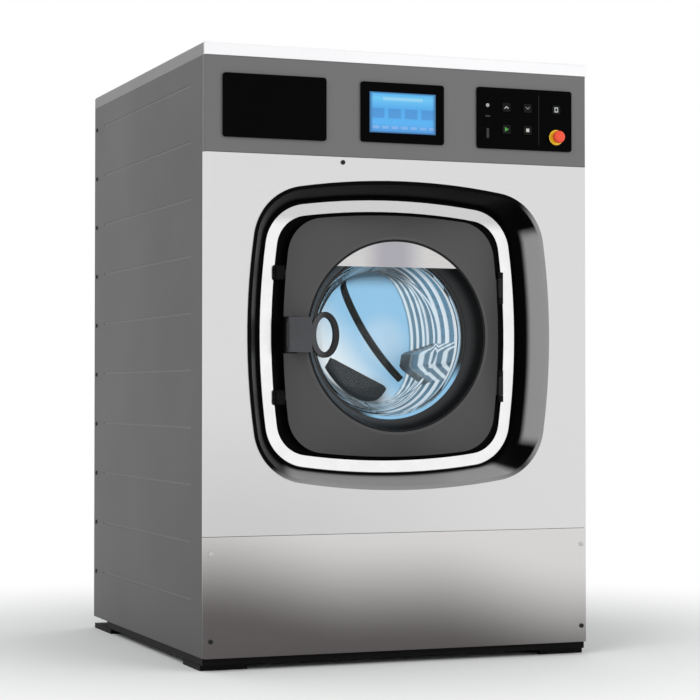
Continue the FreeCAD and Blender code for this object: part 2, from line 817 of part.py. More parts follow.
# Door rim: bowed plate with a round boss, hinge knuckles and two small buffers
def build_rim():
    inset = 2 * size.rim_inset
    rim_size = (size.face_width - inset, size.face_height - inset, size.face_corner - size.rim_inset)
    plate = bowed_block(*rim_size, size.face_edge_depth, size.rim_thickness)
    centre = FreeCAD.Vector(0, front_y + size.face_edge_depth, size.door_height)
    along = FreeCAD.Vector(0, 1, 0)
    up = FreeCAD.Vector(0, 0, 1)
    boss = Part.makeCylinder(size.boss_radius, size.rim_thickness + size.boss_length, centre, along)
    bore = Part.makeCylinder(size.rim_bore, size.rim_thickness + size.boss_length, centre, along)
    added = [boss]
    removed = [bore]
    axis_y = front_y + size.hinge_axis_depth
    for sign in (-1, 1):
        low = size.door_height + sign * size.hinge_spacing / 2 - size.hinge_knuckle / 2
        barrel_at = FreeCAD.Vector(size.hinge_axis_x, axis_y, low)
        added.append(Part.makeCylinder(size.hinge_radius, size.hinge_knuckle, barrel_at, up))
        lug_length = size.hinge_axis_x - size.boss_radius
        lug_at = FreeCAD.Vector(size.boss_radius, axis_y, low)
        added.append(Part.makeBox(lug_length, size.hinge_radius, size.hinge_knuckle, lug_at))
        removed.append(Part.makeCylinder(size.hinge_pin_radius + size.running_fit, size.hinge_knuckle,
                                         barrel_at, up))
        buffer_z = size.door_height + sign * size.buffer_spacing / 2
        rise = size.buffer_spacing / 2
        bow_drop = size.bow_radius - math.sqrt(size.bow_radius ** 2 - rise ** 2)
        buffer_at = FreeCAD.Vector(-rim_size[0] / 2 + bow_drop, front_y + size.face_edge_depth, buffer_z)
        added.append(Part.makeCylinder(size.buffer_radius, size.rim_thickness, buffer_at, along))
    rim = plate.fuse(added).cut(removed).removeSplitter()
    node(solid("rim", rim), "door_rim")


# Dished face: lofted from the bowed edge to the round land about the porthole
def build_face():
    square = (size.face_width, size.face_height, size.face_corner)
    land = size.porthole_radius + size.land_width
    dish = Part.makeLoft([
        bowed_square(*square, size.face_edge_depth),
        matching_circle(land, *square, size.face_front_depth),
    ], True, True)
    hollow = dish.translated(FreeCAD.Vector(0, size.face_thickness, 0))
    centre = FreeCAD.Vector(0, front_y + size.face_front_depth, size.door_height)
    hole = Part.makeCylinder(size.porthole_radius, size.face_edge_depth, centre, FreeCAD.Vector(0, 1, 0))
    notch_at = FreeCAD.Vector(-size.face_width / 2, front_y,
                              size.door_height - size.handle_notch_height / 2)
    notch = Part.makeBox(size.face_width / 2 - size.handle_notch_inner, size.face_edge_depth,
                         size.handle_notch_height, notch_at)
    node(solid("face", dish.cut([hollow, hole, notch])), "door_face")


def build_porthole():
    mouth = "porthole_radius - seat_gap"
    step_y = front + " + face_front_depth + funnel_step"
    funnel_front = front + " + face_front_depth"
    seat = "rim_bore - seat_gap"
    node(turned("funnel", "0", "door_height", (
        (mouth, funnel_front),
        (mouth, step_y),
        (seat, rim_front),
        (seat, funnel_back),
        ("funnel_exit_radius", funnel_back),
        (mouth + " - funnel_wall", step_y),
        (mouth + " - funnel_wall", funnel_front),
    )), "porthole_funnel")
    glass_back = funnel_back + " + glass_thickness"
    bowl_y = funnel_back + " + glass_bowl_depth"
    node(turned("glass", "0", "door_height", (
        (seat, funnel_back),
        (seat, glass_back),
        ("funnel_exit_radius", glass_back),
        ("glass_bowl_radius", bowl_y),
        ("glass_bowl_radius * 0.72", bowl_y + " + glass_dome * 0.72"),
        ("0", bowl_y + " + glass_dome"),
        ("0", bowl_y + " + glass_dome - glass_thickness"),
        ("glass_bowl_radius * 0.7", bowl_y + " + glass_dome * 0.72 - glass_thickness"),
        ("glass_bowl_radius - glass_thickness", bowl_y),
        ("funnel_exit_radius - glass_thickness", glass_back),
        ("funnel_exit_radius - glass_thickness", funnel_back),
    )), "door_glass")
    node(turned("clamp_ring", "0", "door_height", (
        ("clamp_ring_bore", glass_back + " + seat_gap"),
        (seat, glass_back + " + seat_gap"),
        (seat, boss_back),
        ("boss_radius", boss_back),
        ("boss_radius", boss_back + " + clamp_ring_thickness"),
        ("clamp_ring_bore", boss_back + " + clamp_ring_thickness"),
    )), "glass_clamp_ring")
    plate_y = front + " + face_front_depth + crescent_setback"
    disc = rod("crescent_disc", "y", ("0", plate_y, "door_height"),
               "porthole_radius - funnel_wall - 2 * seat_gap", "crescent_thickness")
    upper = box("crescent_part", ("-porthole_radius", plate_y, "door_height + crescent_chord"),
                ("2 * porthole_radius", "crescent_thickness", "porthole_radius"))
    crescent = doc.addObject("Part::Common", "crescent")
    crescent.Base = disc
    crescent.Tool = upper
    node(crescent, "crescent_trim")


# Handle: bracket on the rim with its pin, and a sprung lever with an oval finger loop
def build_handle():
    pivot_x = "-handle_pivot_x"
    pivot_y = front + " + handle_pivot_depth"
    half = "(handle_height / 2 - 2)"
    ears = []
    for name, low in (("low", "door_height - " + half),
                      ("high", "door_height + " + half + " - handle_ear")):
        ears.append(rod("handle_ear_round_" + name, "z", (pivot_x, pivot_y, low), "handle_barrel_radius",
                        "handle_ear"))
        ears.append(box("handle_ear_" + name, (pivot_x + " - handle_barrel_radius", pivot_y, low),
                        ("2 * handle_barrel_radius", "face_edge_depth - handle_pivot_depth", "handle_ear")))
    plate = box("handle_plate", (pivot_x + " - handle_barrel_radius", rim_front + " - 6",
                                 "door_height - " + half),
                ("2 * handle_barrel_radius", "6", "2 * " + half))
    pin = rod("handle_pivot", "z", (pivot_x, pivot_y, "door_height - " + half), "handle_pin_radius",
              "2 * " + half)
    node(join("handle_holder", plate, pin, *ears), "handle_bracket")

    face_y = front + " + handle_front_depth"
    block = box("handle_block", ("-handle_block_outer", face_y, "door_height - handle_height / 2"),
                ("handle_block_outer - handle_block_inner", "handle_block_depth", "handle_height"))
    barrel_half = "(" + half + " - handle_ear - seat_gap)"
    barrel = rod("handle_barrel", "z", (pivot_x, pivot_y, "door_height - " + barrel_half),
                 "handle_barrel_radius - seat_gap", "2 * " + barrel_half)
    web = box("handle_web", (pivot_x + " - handle_barrel_radius / 2", face_y,
                             "door_height - " + barrel_half),
              ("handle_barrel_radius", "handle_pivot_depth - handle_front_depth", "2 * " + barrel_half))
    pin_bore = rod("handle_pin_bore", "z", (pivot_x, pivot_y, "door_height - " + barrel_half),
                   "handle_pin_radius + running_fit", "2 * " + barrel_half)
    loop_x = -(size.handle_block_inner + size.handle_loop_inner + size.handle_loop_lap) / 2
    loop_centre = FreeCAD.Vector(loop_x, front_y + size.handle_front_depth, size.door_height)
    half_long = size.handle_loop_height / 2
    half_short = (size.handle_block_inner - size.handle_loop_inner + size.handle_loop_lap) / 2 + 1
    faces = []
    for inset in (0, size.handle_loop_band):
        ellipse = Part.Ellipse(loop_centre, half_long - inset, half_short - inset)
        ellipse.Axis = FreeCAD.Vector(0, -1, 0)
        ellipse.XAxis = FreeCAD.Vector(0, 0, 1)
        wire = Part.Wire(ellipse.toShape())
        faces.append(Part.Face(wire).extrude(FreeCAD.Vector(0, size.handle_loop_band, 0)))
    loop = solid("handle_loop", faces[0].cut(faces[1]))
    finger_gap = solid("handle_finger_gap", faces[1])
    lever = join("handle_lever_parts", block, barrel, web, loop)
    node(cut("lever", lever, pin_bore, finger_gap), "handle_lever")


# Catch tongue on the door, and the electric lock that bolts it
def build_lock():
    tongue = box("tongue_plate", ("-tongue_x - tongue_thickness / 2", rim_back,
                                  "door_height - tongue_height / 2"),
                 ("tongue_thickness", "tongue_length", "tongue_height"))
    bolt_y = rim_back + " + bolt_reach"
    eye = box("tongue_eye", ("-tongue_x - tongue_thickness / 2", bolt_y + " - tongue_eye / 2",
                             "door_height - tongue_eye / 2"),
                             ("tongue_thickness", "tongue_eye", "tongue_eye"))
    node(cut("tongue", tongue, eye), "catch_tongue")
    lock_y = recess_floor + " + surround_wall"
    case = box("lock_case", ("-lock_outer_x", lock_y, "door_height - lock_height / 2"),
               ("lock_outer_x - lock_inner_x", "lock_depth", "lock_height"))
    slot = box("lock_slot", ("-tongue_x - lock_slot_width / 2", lock_y,
                             "door_height - lock_slot_height / 2"),
               ("lock_slot_width", "lock_depth - surround_wall", "lock_slot_height"))
    slot_wall = "-tongue_x - lock_slot_width / 2"
    reach = "bolt_length + 2 * bolt_setback"
    bore = rod("lock_bore", "x", (slot_wall + " - (" + reach + ")", bolt_y, "door_height"),
               "bolt_radius + running_fit", reach)
    node(cut("lock", case, slot, bore), "lock_housing")
    node(rod("bolt", "x", (slot_wall + " - bolt_setback - bolt_length", bolt_y, "door_height"),
             "bolt_radius", "bolt_length"), "lock_bolt")


def build_tub():
    outer = "tub_radius + tub_wall"
    node(turned("tub_ring", "0", "door_height", (
        ("mouth_radius", tub_front_y),
        (outer, tub_front_y),
        (outer, tub_shell_y),
        ("mouth_radius", tub_shell_y),
    )), "tub_front")
    node(turned("tub_can", "0", "door_height", (
        ("tub_radius", tub_shell_y),
        (outer, tub_shell_y),
        (outer, housing_y),
        ("bearing_radius + running_fit", housing_y),
        ("bearing_radius + running_fit", tub_back_y),
        ("tub_radius", tub_back_y),
    )), "tub")
    gasket_front = boss_back + " + clamp_ring_thickness + seat_gap"
    skirt_front = recess_floor + " + surround_wall + seat_gap"
    outer = "gasket_radius + gasket_wall"
    node(turned("gasket", "0", "door_height", (
        ("gasket_radius", gasket_front + " + gasket_lip"),
        ("gasket_radius + gasket_lip", gasket_front),
        (outer + " - gasket_skirt", gasket_front),
        (outer + " - gasket_skirt", skirt_front),
        (outer, skirt_front),
        (outer, tub_front_y),
        ("gasket_radius", tub_front_y),
    )), "door_gasket")


# Drum: rolled shell with beads and a mouth lip, lifters, spider with the back sheet, and the shaft
def build_drum():
    wall = "drum_wall"
    radius = "drum_radius"
    inner = []
    outer = []
    pitch = "(drum_length / (drum_bead_count + 1))"
    for bead in range(size.drum_bead_count):
        middle = drum_front_y + " + %d * %s" % (bead + 1, pitch)
        for offset, rise in (("- drum_bead_width / 2", "0"), ("", "drum_bead_height"),
                             ("+ drum_bead_width / 2", "0")):
            y = middle + " " + offset
            inner.append((radius + " - " + rise, y))
            outer.append((radius + " + " + wall + " - " + rise, y))
    lip_y = drum_front_y + " + drum_lip"
    profile = [("drum_mouth", lip_y), ("drum_mouth", drum_front_y), (radius + " + " + wall, drum_front_y)]
    profile += outer
    profile += [(radius + " + " + wall, drum_back_y), (radius, drum_back_y)]
    profile += inner[::-1]
    profile += [(radius, drum_front_y + " + " + wall),
                ("drum_mouth + " + wall, drum_front_y + " + " + wall),
                ("drum_mouth + " + wall, lip_y)]
    node(turned("drum_can", "0", "door_height", profile), "drum_shell")

    foot = "sqrt((drum_radius - drum_bead_height - seat_gap) ^ 2 - (lifter_base / 2) ^ 2)"
    crest = "drum_radius - lifter_height"
    lifters = []
    for number in range(3):
        body = padded("lifter_%d" % number, "XZ_Plane", (
            ("-lifter_base / 2", "-(" + foot + ")"),
            ("-lifter_crest / 2", "-(" + crest + ") - 8"),
            ("-lifter_crest / 2 + 8", "-(" + crest + ")"),
            ("lifter_crest / 2 - 8", "-(" + crest + ")"),
            ("lifter_crest / 2", "-(" + crest + ") - 8"),
            ("lifter_base / 2", "-(" + foot + ")"),
        ), "lifter_length", ("0", drum_front_y + " + (drum_length + lifter_length) / 2", "door_height"))
        body.Placement.Rotation = FreeCAD.Rotation(FreeCAD.Vector(0, 1, 0), 40 + 120 * number)
        lifters.append(body)
    node(group("lifter_set", lifters), "drum_lifters")

    sheet_disc = rod("drum_back_sheet", "y", ("0", drum_back_y, "door_height"), "drum_radius + drum_wall",
                     "drum_back_thickness")
    spider_y = drum_back_y + " + drum_back_thickness"
    hub = rod("spider_hub", "y", ("0", spider_y, "door_height"), "spider_hub_radius", "spider_thickness")
    arms = []
    for number in range(3):
        arm = padded("spider_arm_%d" % number, "XZ_Plane", (
            ("-spider_arm_width / 2", "0"),
            ("spider_arm_width / 2", "0"),
            ("spider_arm_width / 4", "drum_radius - 6"),
            ("-spider_arm_width / 4", "drum_radius - 6"),
        ), "spider_thickness", ("0", spider_y + " + spider_thickness", "door_height"))
        arm.Placement.Rotation = FreeCAD.Rotation(FreeCAD.Vector(0, 1, 0), 120 * number)
        arms.append(arm)
    node(join("spider", sheet_disc, hub, *arms), "drum_spider")

    shaft_y = spider_y + " + spider_thickness"
    node(rod("shaft", "y", ("0", shaft_y, "door_height"), "shaft_radius", "shaft_length"), "drum_shaft")


# Drive: bearing housing, bearings, seal, grooved pulleys, belts and motor
def build_drive():
    bore = "bearing_radius + running_fit"
    node(turned("housing", "0", "door_height", (
        (bore, housing_y),
        ("housing_flange_radius", housing_y),
        ("housing_flange_radius", housing_y + " + housing_flange"),
        ("housing_radius + 20", housing_y + " + housing_flange"),
        ("housing_radius", housing_y + " + housing_flange + 30"),
        ("housing_radius", housing_end),
        (bore, housing_end),
    )), "bearing_housing")
    race = "shaft_radius + running_fit"
    bearings = []
    for name, y in (("inner", housing_y + " + seal_width + seat_gap"),
                    ("outer", housing_end + " - bearing_width")):
        bearings.append(turned("bearing_" + name, "0", "door_height", (
            (race, y),
            ("bearing_radius", y),
            ("bearing_radius", y + " + bearing_width"),
            (race, y + " + bearing_width"),
        )))
    node(group("bearing_pair", bearings), "shaft_bearings")
    node(turned("seal", "0", "door_height", (
        (race, tub_back_y),
        ("bearing_radius", tub_back_y),
        ("bearing_radius", housing_y + " + seal_width"),
        (race, housing_y + " + seal_width"),
    )), "shaft_seal")

    rim = "pulley_radius"
    groove = rim + " - pulley_groove"
    lower = "pulley_radius - pulley_groove - pulley_rim"
    web_y = pulley_y + " + (pulley_width - pulley_web) / 2"
    node(turned("big_pulley", "0", "door_height", grooved(rim, groove, pulley_y) + [
        (lower, pulley_y + " + pulley_width"),
        (lower, web_y + " + pulley_web"),
        ("pulley_hub_radius", web_y + " + pulley_web"),
        ("pulley_hub_radius", pulley_y + " + pulley_width"),
        ("shaft_radius", pulley_y + " + pulley_width"),
        ("shaft_radius", pulley_y),
        ("pulley_hub_radius", pulley_y),
        ("pulley_hub_radius", web_y),
        (lower, web_y),
        (lower, pulley_y),
    ]), "drum_pulley")

    motor_end = pulley_y + " - motor_gap"
    motor_y = motor_end + " - motor_length"
    small = "motor_pulley_radius"
    node(turned("small_pulley", "0", "motor_height",
                grooved(small, small + " - pulley_groove", pulley_y) + [
        ("0", pulley_y + " + pulley_width"),
        ("0", motor_end + " - motor_gap"),
        ("motor_shaft_radius", motor_end + " - motor_gap"),
        ("motor_shaft_radius", pulley_y),
    ]), "motor_pulley")
    drum = rod("motor_can", "y", ("0", motor_y, "motor_height"), "motor_radius", "motor_length")
    foot = box("motor_foot", ("-motor_foot_width / 2", motor_y + " + 20", frame_top + " + motor_bed"),
               ("motor_foot_width", "motor_length - 40", "motor_height - " + frame_top + " - motor_bed"))
    terminal = box("motor_terminal_box", ("motor_radius / 2", motor_y + " + motor_terminal_offset",
                                          "motor_height - motor_terminal / 2"),
                   ("motor_radius / 2 + motor_terminal_reach", "motor_terminal_length", "motor_terminal"))
    bed = box("motor_bed_plate", ("-motor_bed_width / 2", "cradle_rear_y - cross_width / 2", frame_top),
              ("motor_bed_width", "motor_rail_y - cradle_rear_y + cross_width", "motor_bed"))
    socket = rod("motor_socket", "y", ("0", motor_end + " - motor_gap", "motor_height"),
                 "motor_shaft_radius + running_fit", "motor_gap")
    node(cut("motor", join("motor_parts", drum, foot, terminal, bed), socket), "motor_body")

    big = size.pulley_radius - size.pulley_groove + size.seat_gap
    little = size.motor_pulley_radius - size.pulley_groove + size.seat_gap
    distance = size.door_height - size.motor_height
    belts = []
    for number in range(size.belt_count):
        shapes = [belt_loop(big + grow, little + grow, distance) for grow in (size.belt_thickness, 0)]
        belt = solid("belt_%d" % number, shapes[0].cut(shapes[1]))
        step = " + (%d - (belt_count - 1) / 2) * belt_pitch" % number
        bind(belt, "Placement.Base.y", pulley_y + " + pulley_width / 2 - belt_width / 2" + step)
        bind(belt, "Placement.Base.z", "motor_height")
        belts.append(belt)
    node(group("belt_set", belts), "drive_belts")


# Upper side of a pulley rim with one square groove for each belt, from front to back
def grooved(rim, groove, start_y):
    corners = [(rim, start_y)]
    centre = start_y + " + pulley_width / 2"
    for number in range(size.belt_count):
        middle = centre + " + (%d - (belt_count - 1) / 2) * belt_pitch" % number
        for edge, radii in (("- belt_width / 2 - seat_gap", (rim, groove)),
                            ("+ belt_width / 2 + seat_gap", (groove, rim))):
            corners += [(radius, middle + " " + edge) for radius in radii]
    corners.append((rim, start_y + " + pulley_width"))
    return corners


# Filled belt path about the two pulleys, one belt wide, with the motor pulley at the origin
def belt_loop(big, little, distance):
    lean = math.asin((big - little) / distance)
    points = []
    for centre_z, radius in ((0, little), (distance, big)):
        for sign in (-1, 1):
            points.append(FreeCAD.Vector(sign * radius * math.cos(lean), 0,
                                         centre_z - radius * math.sin(lean)))
    low_left, low_right, high_left, high_right = points
    low = FreeCAD.Vector(0, 0, -little)
    high = FreeCAD.Vector(0, 0, distance + big)
    wire = Part.Wire([
        Part.Arc(low_left, low, low_right).toShape(),
        Part.makeLine(low_right, high_right),
        Part.Arc(high_right, high, high_left).toShape(),
        Part.makeLine(high_left, low_left),
    ])
    return Part.Face(wire).extrude(FreeCAD.Vector(0, size.belt_width, 0))


# Soap drawer, its box behind the fascia, and the hoses
def build_soap():
    floor_z = "plate_z - drawer_height / 2"
    tray_y = front
    left = "-plate_x - drawer_width / 2"
    block = box("tray_block", (left, tray_y, floor_z), ("drawer_width", "drawer_length", "drawer_height"))
    cells = []
    cell_width = "(drawer_width - 3 * drawer_wall) / 2"
    for number in range(2):
        x = left + " + drawer_wall + %d * (%s + drawer_wall)" % (number, cell_width)
        cells.append(box("tray_cell_%d" % number,
                         (x, tray_y + " + drawer_wall", floor_z + " + drawer_wall"),
                         (cell_width, "drawer_length - 2 * drawer_wall", "drawer_height")))
    node(cut("tray", block, *cells), "soap_drawer")
    plate = box("drawer_plate", ("-plate_x - plate_width / 2", front + " - plate_thickness - seat_gap",
                                 "plate_z - plate_height / 2"),
                ("plate_width", "plate_thickness", "plate_height"))
    back = box("drawer_plate_back", (left, front + " - seat_gap", floor_z),
               ("drawer_width", "seat_gap", "drawer_height"))
    node(join("drawer_cover", corner_rounded("drawer_plate_rounded", plate), back), "drawer_front")

    gap = "drawer_clearance"
    inner_width = "drawer_width + 2 * drawer_clearance"
    box_y = front + " + sheet"
    inner_left = left + " - " + gap
    outer = box("soap_shell", (inner_left + " - soap_box_wall", box_y,
                               floor_z + " - " + gap + " - soap_box_wall"),
                (inner_width + " + 2 * soap_box_wall", "soap_box_length",
                 "drawer_height + 2 * drawer_clearance + 2 * soap_box_wall"))
    inside = box("soap_space", (inner_left, box_y, floor_z + " - " + gap),
                 (inner_width, "soap_box_length - soap_box_wall", "drawer_height + 2 * drawer_clearance"))
    runners = [box("runner_" + name, (x, box_y, floor_z + " - " + gap),
                   ("runner_width", "soap_box_length - soap_box_wall", "drawer_clearance - seat_gap"))
               for name, x in (("left", inner_left), ("right", left + " + drawer_width - runner_width"))]
    drain_hole = rod("soap_drain", "z", ("-soap_hose_x", soap_drain_y,
                                         floor_z + " - " + gap + " - soap_box_wall"),
                     "soap_hose_radius - 3", "soap_box_wall")
    shell = cut("soap_hollow", outer, inside, drain_hole)
    node(join("soap_case", shell, *runners), "soap_box")


soap_drain_y = front + " + sheet + soap_box_length - 60"


def corner_rounded(name, plate):
    edges = edges_where(plate, lambda edge: abs(edge.Vertexes[0].Y - edge.Vertexes[-1].Y) > 0.5)
    return rounded(name, plate, edges, size.plate_corner)


def build_water():
    valve_y = rear + " - sheet - valve_depth"
    valves = []
    hoses = []
    for name, sign in (("cold", "-"), ("hot", "+")):
        x = "-valve_x %s valve_spacing / 2" % sign
        body = box("valve_body_" + name, (x + " - valve_body / 2", valve_y,
                                          "valve_height - valve_body / 2"),
                   ("valve_body", "valve_depth", "valve_body"))
        neck = rod("valve_neck_" + name, "y", (x, rear + " - sheet", "valve_height"), "inlet_neck", "sheet")
        stub = rod("valve_stub_" + name, "y", (x, rear, "valve_height"), "inlet_radius", "inlet_length")
        valves.append(join("valve_" + name, body, neck, stub))
        start = front + " + sheet + soap_box_length"
        pipe = rod("hose_" + name, "y", (x, start, "valve_height"), "hose_radius",
                   valve_y + " - (" + start + ")")
        hole = rod("hose_bore_" + name, "y", (x, start, "valve_height"), "hose_bore",
                   valve_y + " - (" + start + ")")
        hoses.append(cut("fill_hose_" + name, pipe, hole))
    node(group("valve_pair", valves), "inlet_valves")
    floor_z = "plate_z - drawer_height / 2 - drawer_clearance - soap_box_wall"
    length = floor_z + " - door_height"
    pipe = rod("soap_pipe", "z", ("-soap_hose_x", soap_drain_y, "door_height"), "soap_hose_radius", length)
    hole = rod("soap_pipe_bore", "z", ("-soap_hose_x", soap_drain_y, "door_height"),
               "soap_hose_radius - 3", length)
    tub = rod("soap_tub_space", "y", ("0", front, "door_height"), "tub_radius + tub_wall + seat_gap",
              "cabinet_depth")
    hoses.append(cut("soap_hose", pipe, hole, tub))
    node(group("hose_set", hoses), "water_hoses")

    column = rod("drain_column", "z", ("0", "drain_valve_y", "drain_height - drain_valve_radius"),
                 "drain_valve_radius", "door_height - drain_height")
    actuator = box("drain_actuator", ("0", "drain_valve_y - drain_valve_radius",
                                      "drain_height - drain_actuator_drop"),
                   ("drain_valve_radius + drain_actuator", "2 * drain_valve_radius", "drain_actuator"))
    branch = rod("drain_branch", "x", ("-drain_valve_radius - drain_branch", "drain_valve_y",
                                       "drain_height"),
                 "drain_radius", "drain_valve_radius")
    tub_space = rod("drain_tub_space", "y", ("0", front, "door_height"), "tub_radius + tub_wall + seat_gap",
                    "cabinet_depth")
    node(cut("drain", join("drain_parts", column, actuator, branch), tub_space), "drain_valve")
    start = FreeCAD.Vector(-size.drain_valve_radius - size.drain_branch, size.drain_valve_y,
                           size.drain_height)
    corner = FreeCAD.Vector(-size.drain_x, size.drain_valve_y, size.drain_height)
    wall_end = FreeCAD.Vector(-size.drain_x, size.cabinet_depth / 2, size.drain_height)
    along = FreeCAD.Vector(0, 1, 0)
    end = wall_end + along * size.drain_spigot_length
    tube = bent_tube([start, corner, end], size.drain_bend, size.drain_radius, size.drain_bore)
    spigot = Part.makeCylinder(size.drain_spigot_radius, size.drain_spigot_length, wall_end, along)
    passage = Part.makeCylinder(size.drain_bore, size.drain_spigot_length, wall_end, along)
    node(solid("drain_tube", tube.fuse(spigot.cut(passage)).removeSplitter()), "drain_pipe")


# Touch screen, key panel with push keys, and the emergency stop
def build_controls():
    bezel = box("bezel_plate", ("-bezel_width / 2", front + " - plate_thickness",
                                "plate_z - bezel_height / 2"),
                ("bezel_width", "plate_thickness", "bezel_height"))
    window = box("bezel_window", ("-screen_width / 2", front + " - plate_thickness",
                                  "plate_z - screen_height / 2"),
                 ("screen_width", "screen_thickness", "screen_height"))
    node(cut("bezel", corner_rounded("bezel_rounded", bezel), window), "screen_bezel")
    node(box("screen", ("-screen_width / 2 + seat_gap", front + " - plate_thickness",
                        "plate_z - screen_height / 2 + seat_gap"),
             ("screen_width - 2 * seat_gap", "screen_thickness", "screen_height - 2 * seat_gap")),
             "screen_glass")

    plate = box("key_plate", ("plate_x - plate_width / 2", front + " - plate_thickness",
                              "plate_z - plate_height / 2"),
                ("plate_width", "plate_thickness", "plate_height"))
    holes = []
    places = {
        "start": ("key_column_a", "key_row_low"),
        "stop": ("key_column_b", "key_row_low"),
        "up": ("key_column_a", "key_row_high"),
        "down": ("key_column_b", "key_row_high"),
        "door": ("key_column_c", "key_row_high"),
    }
    for name, (column, row_z) in places.items():
        corner = ("plate_x + %s - key_size / 2" % column, front + " - plate_thickness - key_proud",
                  "plate_z + %s - key_size / 2" % row_z)
        hole_at = (corner[0] + " - key_fit", front + " - plate_thickness", corner[2] + " - key_fit")
        holes.append(box("key_hole_" + name, hole_at,
                         ("key_size + 2 * key_fit", "plate_thickness", "key_size + 2 * key_fit")))
        blank = box("key_blank_" + name, corner, ("key_size", "key_proud + key_depth", "key_size"))
        edges = edges_where(blank, lambda edge: abs(edge.Vertexes[0].Y - edge.Vertexes[-1].Y) > 0.5)
        node(rounded("key_cap_" + name, blank, edges, size.key_corner), "key_" + name)
    stop_x = "plate_x + key_column_c"
    stop_z = "plate_z + estop_row"
    holes.append(rod("estop_hole", "y", (stop_x, front + " - plate_thickness", stop_z),
                     "estop_stem_radius + key_fit", "plate_thickness"))
    node(cut("key_board", corner_rounded("key_plate_rounded", plate), *holes), "key_panel")
    collar_front = front + " - plate_thickness - estop_collar"
    node(turned("collar", stop_x, stop_z, (
        ("estop_stem_radius + key_fit", collar_front),
        ("estop_collar_radius - 1", collar_front),
        ("estop_collar_radius", collar_front + " + 1"),
        ("estop_collar_radius", front + " - plate_thickness"),
        ("estop_stem_radius + key_fit", front + " - plate_thickness"),
    )), "estop_collar")
    head_back = collar_front + " - estop_lift"
    node(turned("estop", stop_x, stop_z, (
        ("0", head_back + " - estop_head"),
        ("estop_head_radius * 0.6", head_back + " - estop_head + 1"),
        ("estop_head_radius", head_back + " - estop_head * 0.6"),
        ("estop_head_radius", head_back),
        ("estop_stem_radius", head_back),
        ("estop_stem_radius", front + " + 2"),
        ("0", front + " + 2"),
    )), "estop_button")


def build_rear():
    width = "cabinet_width - 2 * rear_return - 2 * panel_joint"
    panel = box("rear_sheet", ("-(" + width + ") / 2", rear + " - sheet", "panel_bottom"),
                (width, "sheet", "fascia_top - panel_bottom"))
    inner = "cover_width - 2 * cover_lap"
    holes = [box("rear_window", ("-(" + inner + ") / 2", rear + " - sheet", "cover_low + cover_lap"),
                 (inner, "sheet", "cover_high - cover_low - 2 * cover_lap"))]
    holes.append(rod("drain_hole", "y", ("-drain_x", rear + " - sheet", "drain_height"),
                     "drain_radius + seat_gap", "sheet"))
    for name, sign in (("cold", "-"), ("hot", "+")):
        holes.append(rod("inlet_hole_" + name, "y",
                         ("-valve_x %s valve_spacing / 2" % sign, rear + " - sheet",
                                                     "valve_height"), "inlet_radius + seat_gap", "sheet"))
    holes.append(rod("gland_hole", "y", ("gland_x", rear + " - sheet", "valve_height"),
                     "gland_bore + seat_gap", "sheet"))
    for number in range(size.louvre_count):
        holes.append(box("louvre_%d" % number, ("-louvre_width / 2", rear + " - sheet",
                                                "louvre_first + %d * louvre_pitch" % number),
                         ("louvre_width", "sheet", "louvre_height")))
    node(cut("rear_wall", panel, *holes), "rear_panel")
    node(box("access_cover", ("-cover_width / 2", rear, "cover_low"),
             ("cover_width", "sheet", "cover_high - cover_low")), "rear_access_cover")
    node(turned("gland", "gland_x", "valve_height", (
        ("gland_bore", rear),
        ("gland_radius", rear),
        ("gland_radius", rear + " + gland_length * 0.4"),
        ("gland_radius - 2", rear + " + gland_length * 0.4"),
        ("gland_radius - 2", rear + " + gland_length * 0.7"),
        ("gland_bore + 2", rear + " + gland_length"),
        ("gland_bore", rear + " + gland_length"),
    )), "cable_gland")


# Screw heads: along the rear edges of the sides, round the rear cover and on the front panels
def build_screws():
    heads = []

    def head(axis, at):
        heads.append(rod("screw_%d" % len(heads), axis, at, "screw_radius", "screw_height"))

    for number in range(size.swage_count):
        z = "swage_first + %d * swage_pitch" % number
        y = rear + " - rear_return + screw_inset"
        head("x", (half_width, y, z))
        head("x", ("-" + half_width + " - screw_height", y, z))
    for sign in ("-", "+"):
        x = "%s(cover_width / 2 - screw_inset)" % sign
        for share in range(4):
            z = "cover_low + screw_inset + %d * (cover_high - cover_low - 2 * screw_inset) / 3" % share
            head("y", (x, rear + " + sheet", z))
        x = "%s(cabinet_width / 2 - panel_screw_edge)" % sign
        for z in ("panel_bottom + panel_screw_inset", "seam_height - panel_screw_inset"):
            head("y", (x, front + " - screw_height", z))
    head("y", ("-fascia_screw_x", front + " - screw_height", "fascia_bottom - fascia_screw_drop"))
    node(group("screw_set", heads), "panel_screws")


def build_inverter():
    node(box("inverter", ("inverter_x - inverter_width / 2", front + " + plinth_setback + 4", frame_top),
             ("inverter_width", "inverter_depth", "inverter_height")), "inverter_box")


for build in (
    build_frame,
    build_feet,
    lambda: build_side("left", "-"),
    lambda: build_side("right", "+"),
    build_lid,
    build_front_panels,
    build_surround,
    build_hinges,
    build_rim,
    build_face,
    build_porthole,
    build_handle,
    build_lock,
    build_tub,
    build_drum,
    build_drive,
    build_soap,
    build_water,
    build_controls,
    build_rear,
    build_screws,
    build_inverter,
):
    build()
doc.recompute()

failed = [item.Label for item in doc.Objects if "Invalid" in item.State or "Error" in item.State]
failed += [item.Label for item in nodes if item.Shape.isNull() or not item.Shape.isValid()]
if failed:
    raise RuntimeError("not built: " + ", ".join(failed))

os.makedirs("parts", exist_ok=True)
for item in nodes:
    item.Shape.exportStep("parts/%s.step" % item.Label)
    print(item.Label, len(item.Shape.Solids), round(item.Shape.Volume))
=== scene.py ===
import bpy
import json
import math
from mathutils import Matrix, Vector


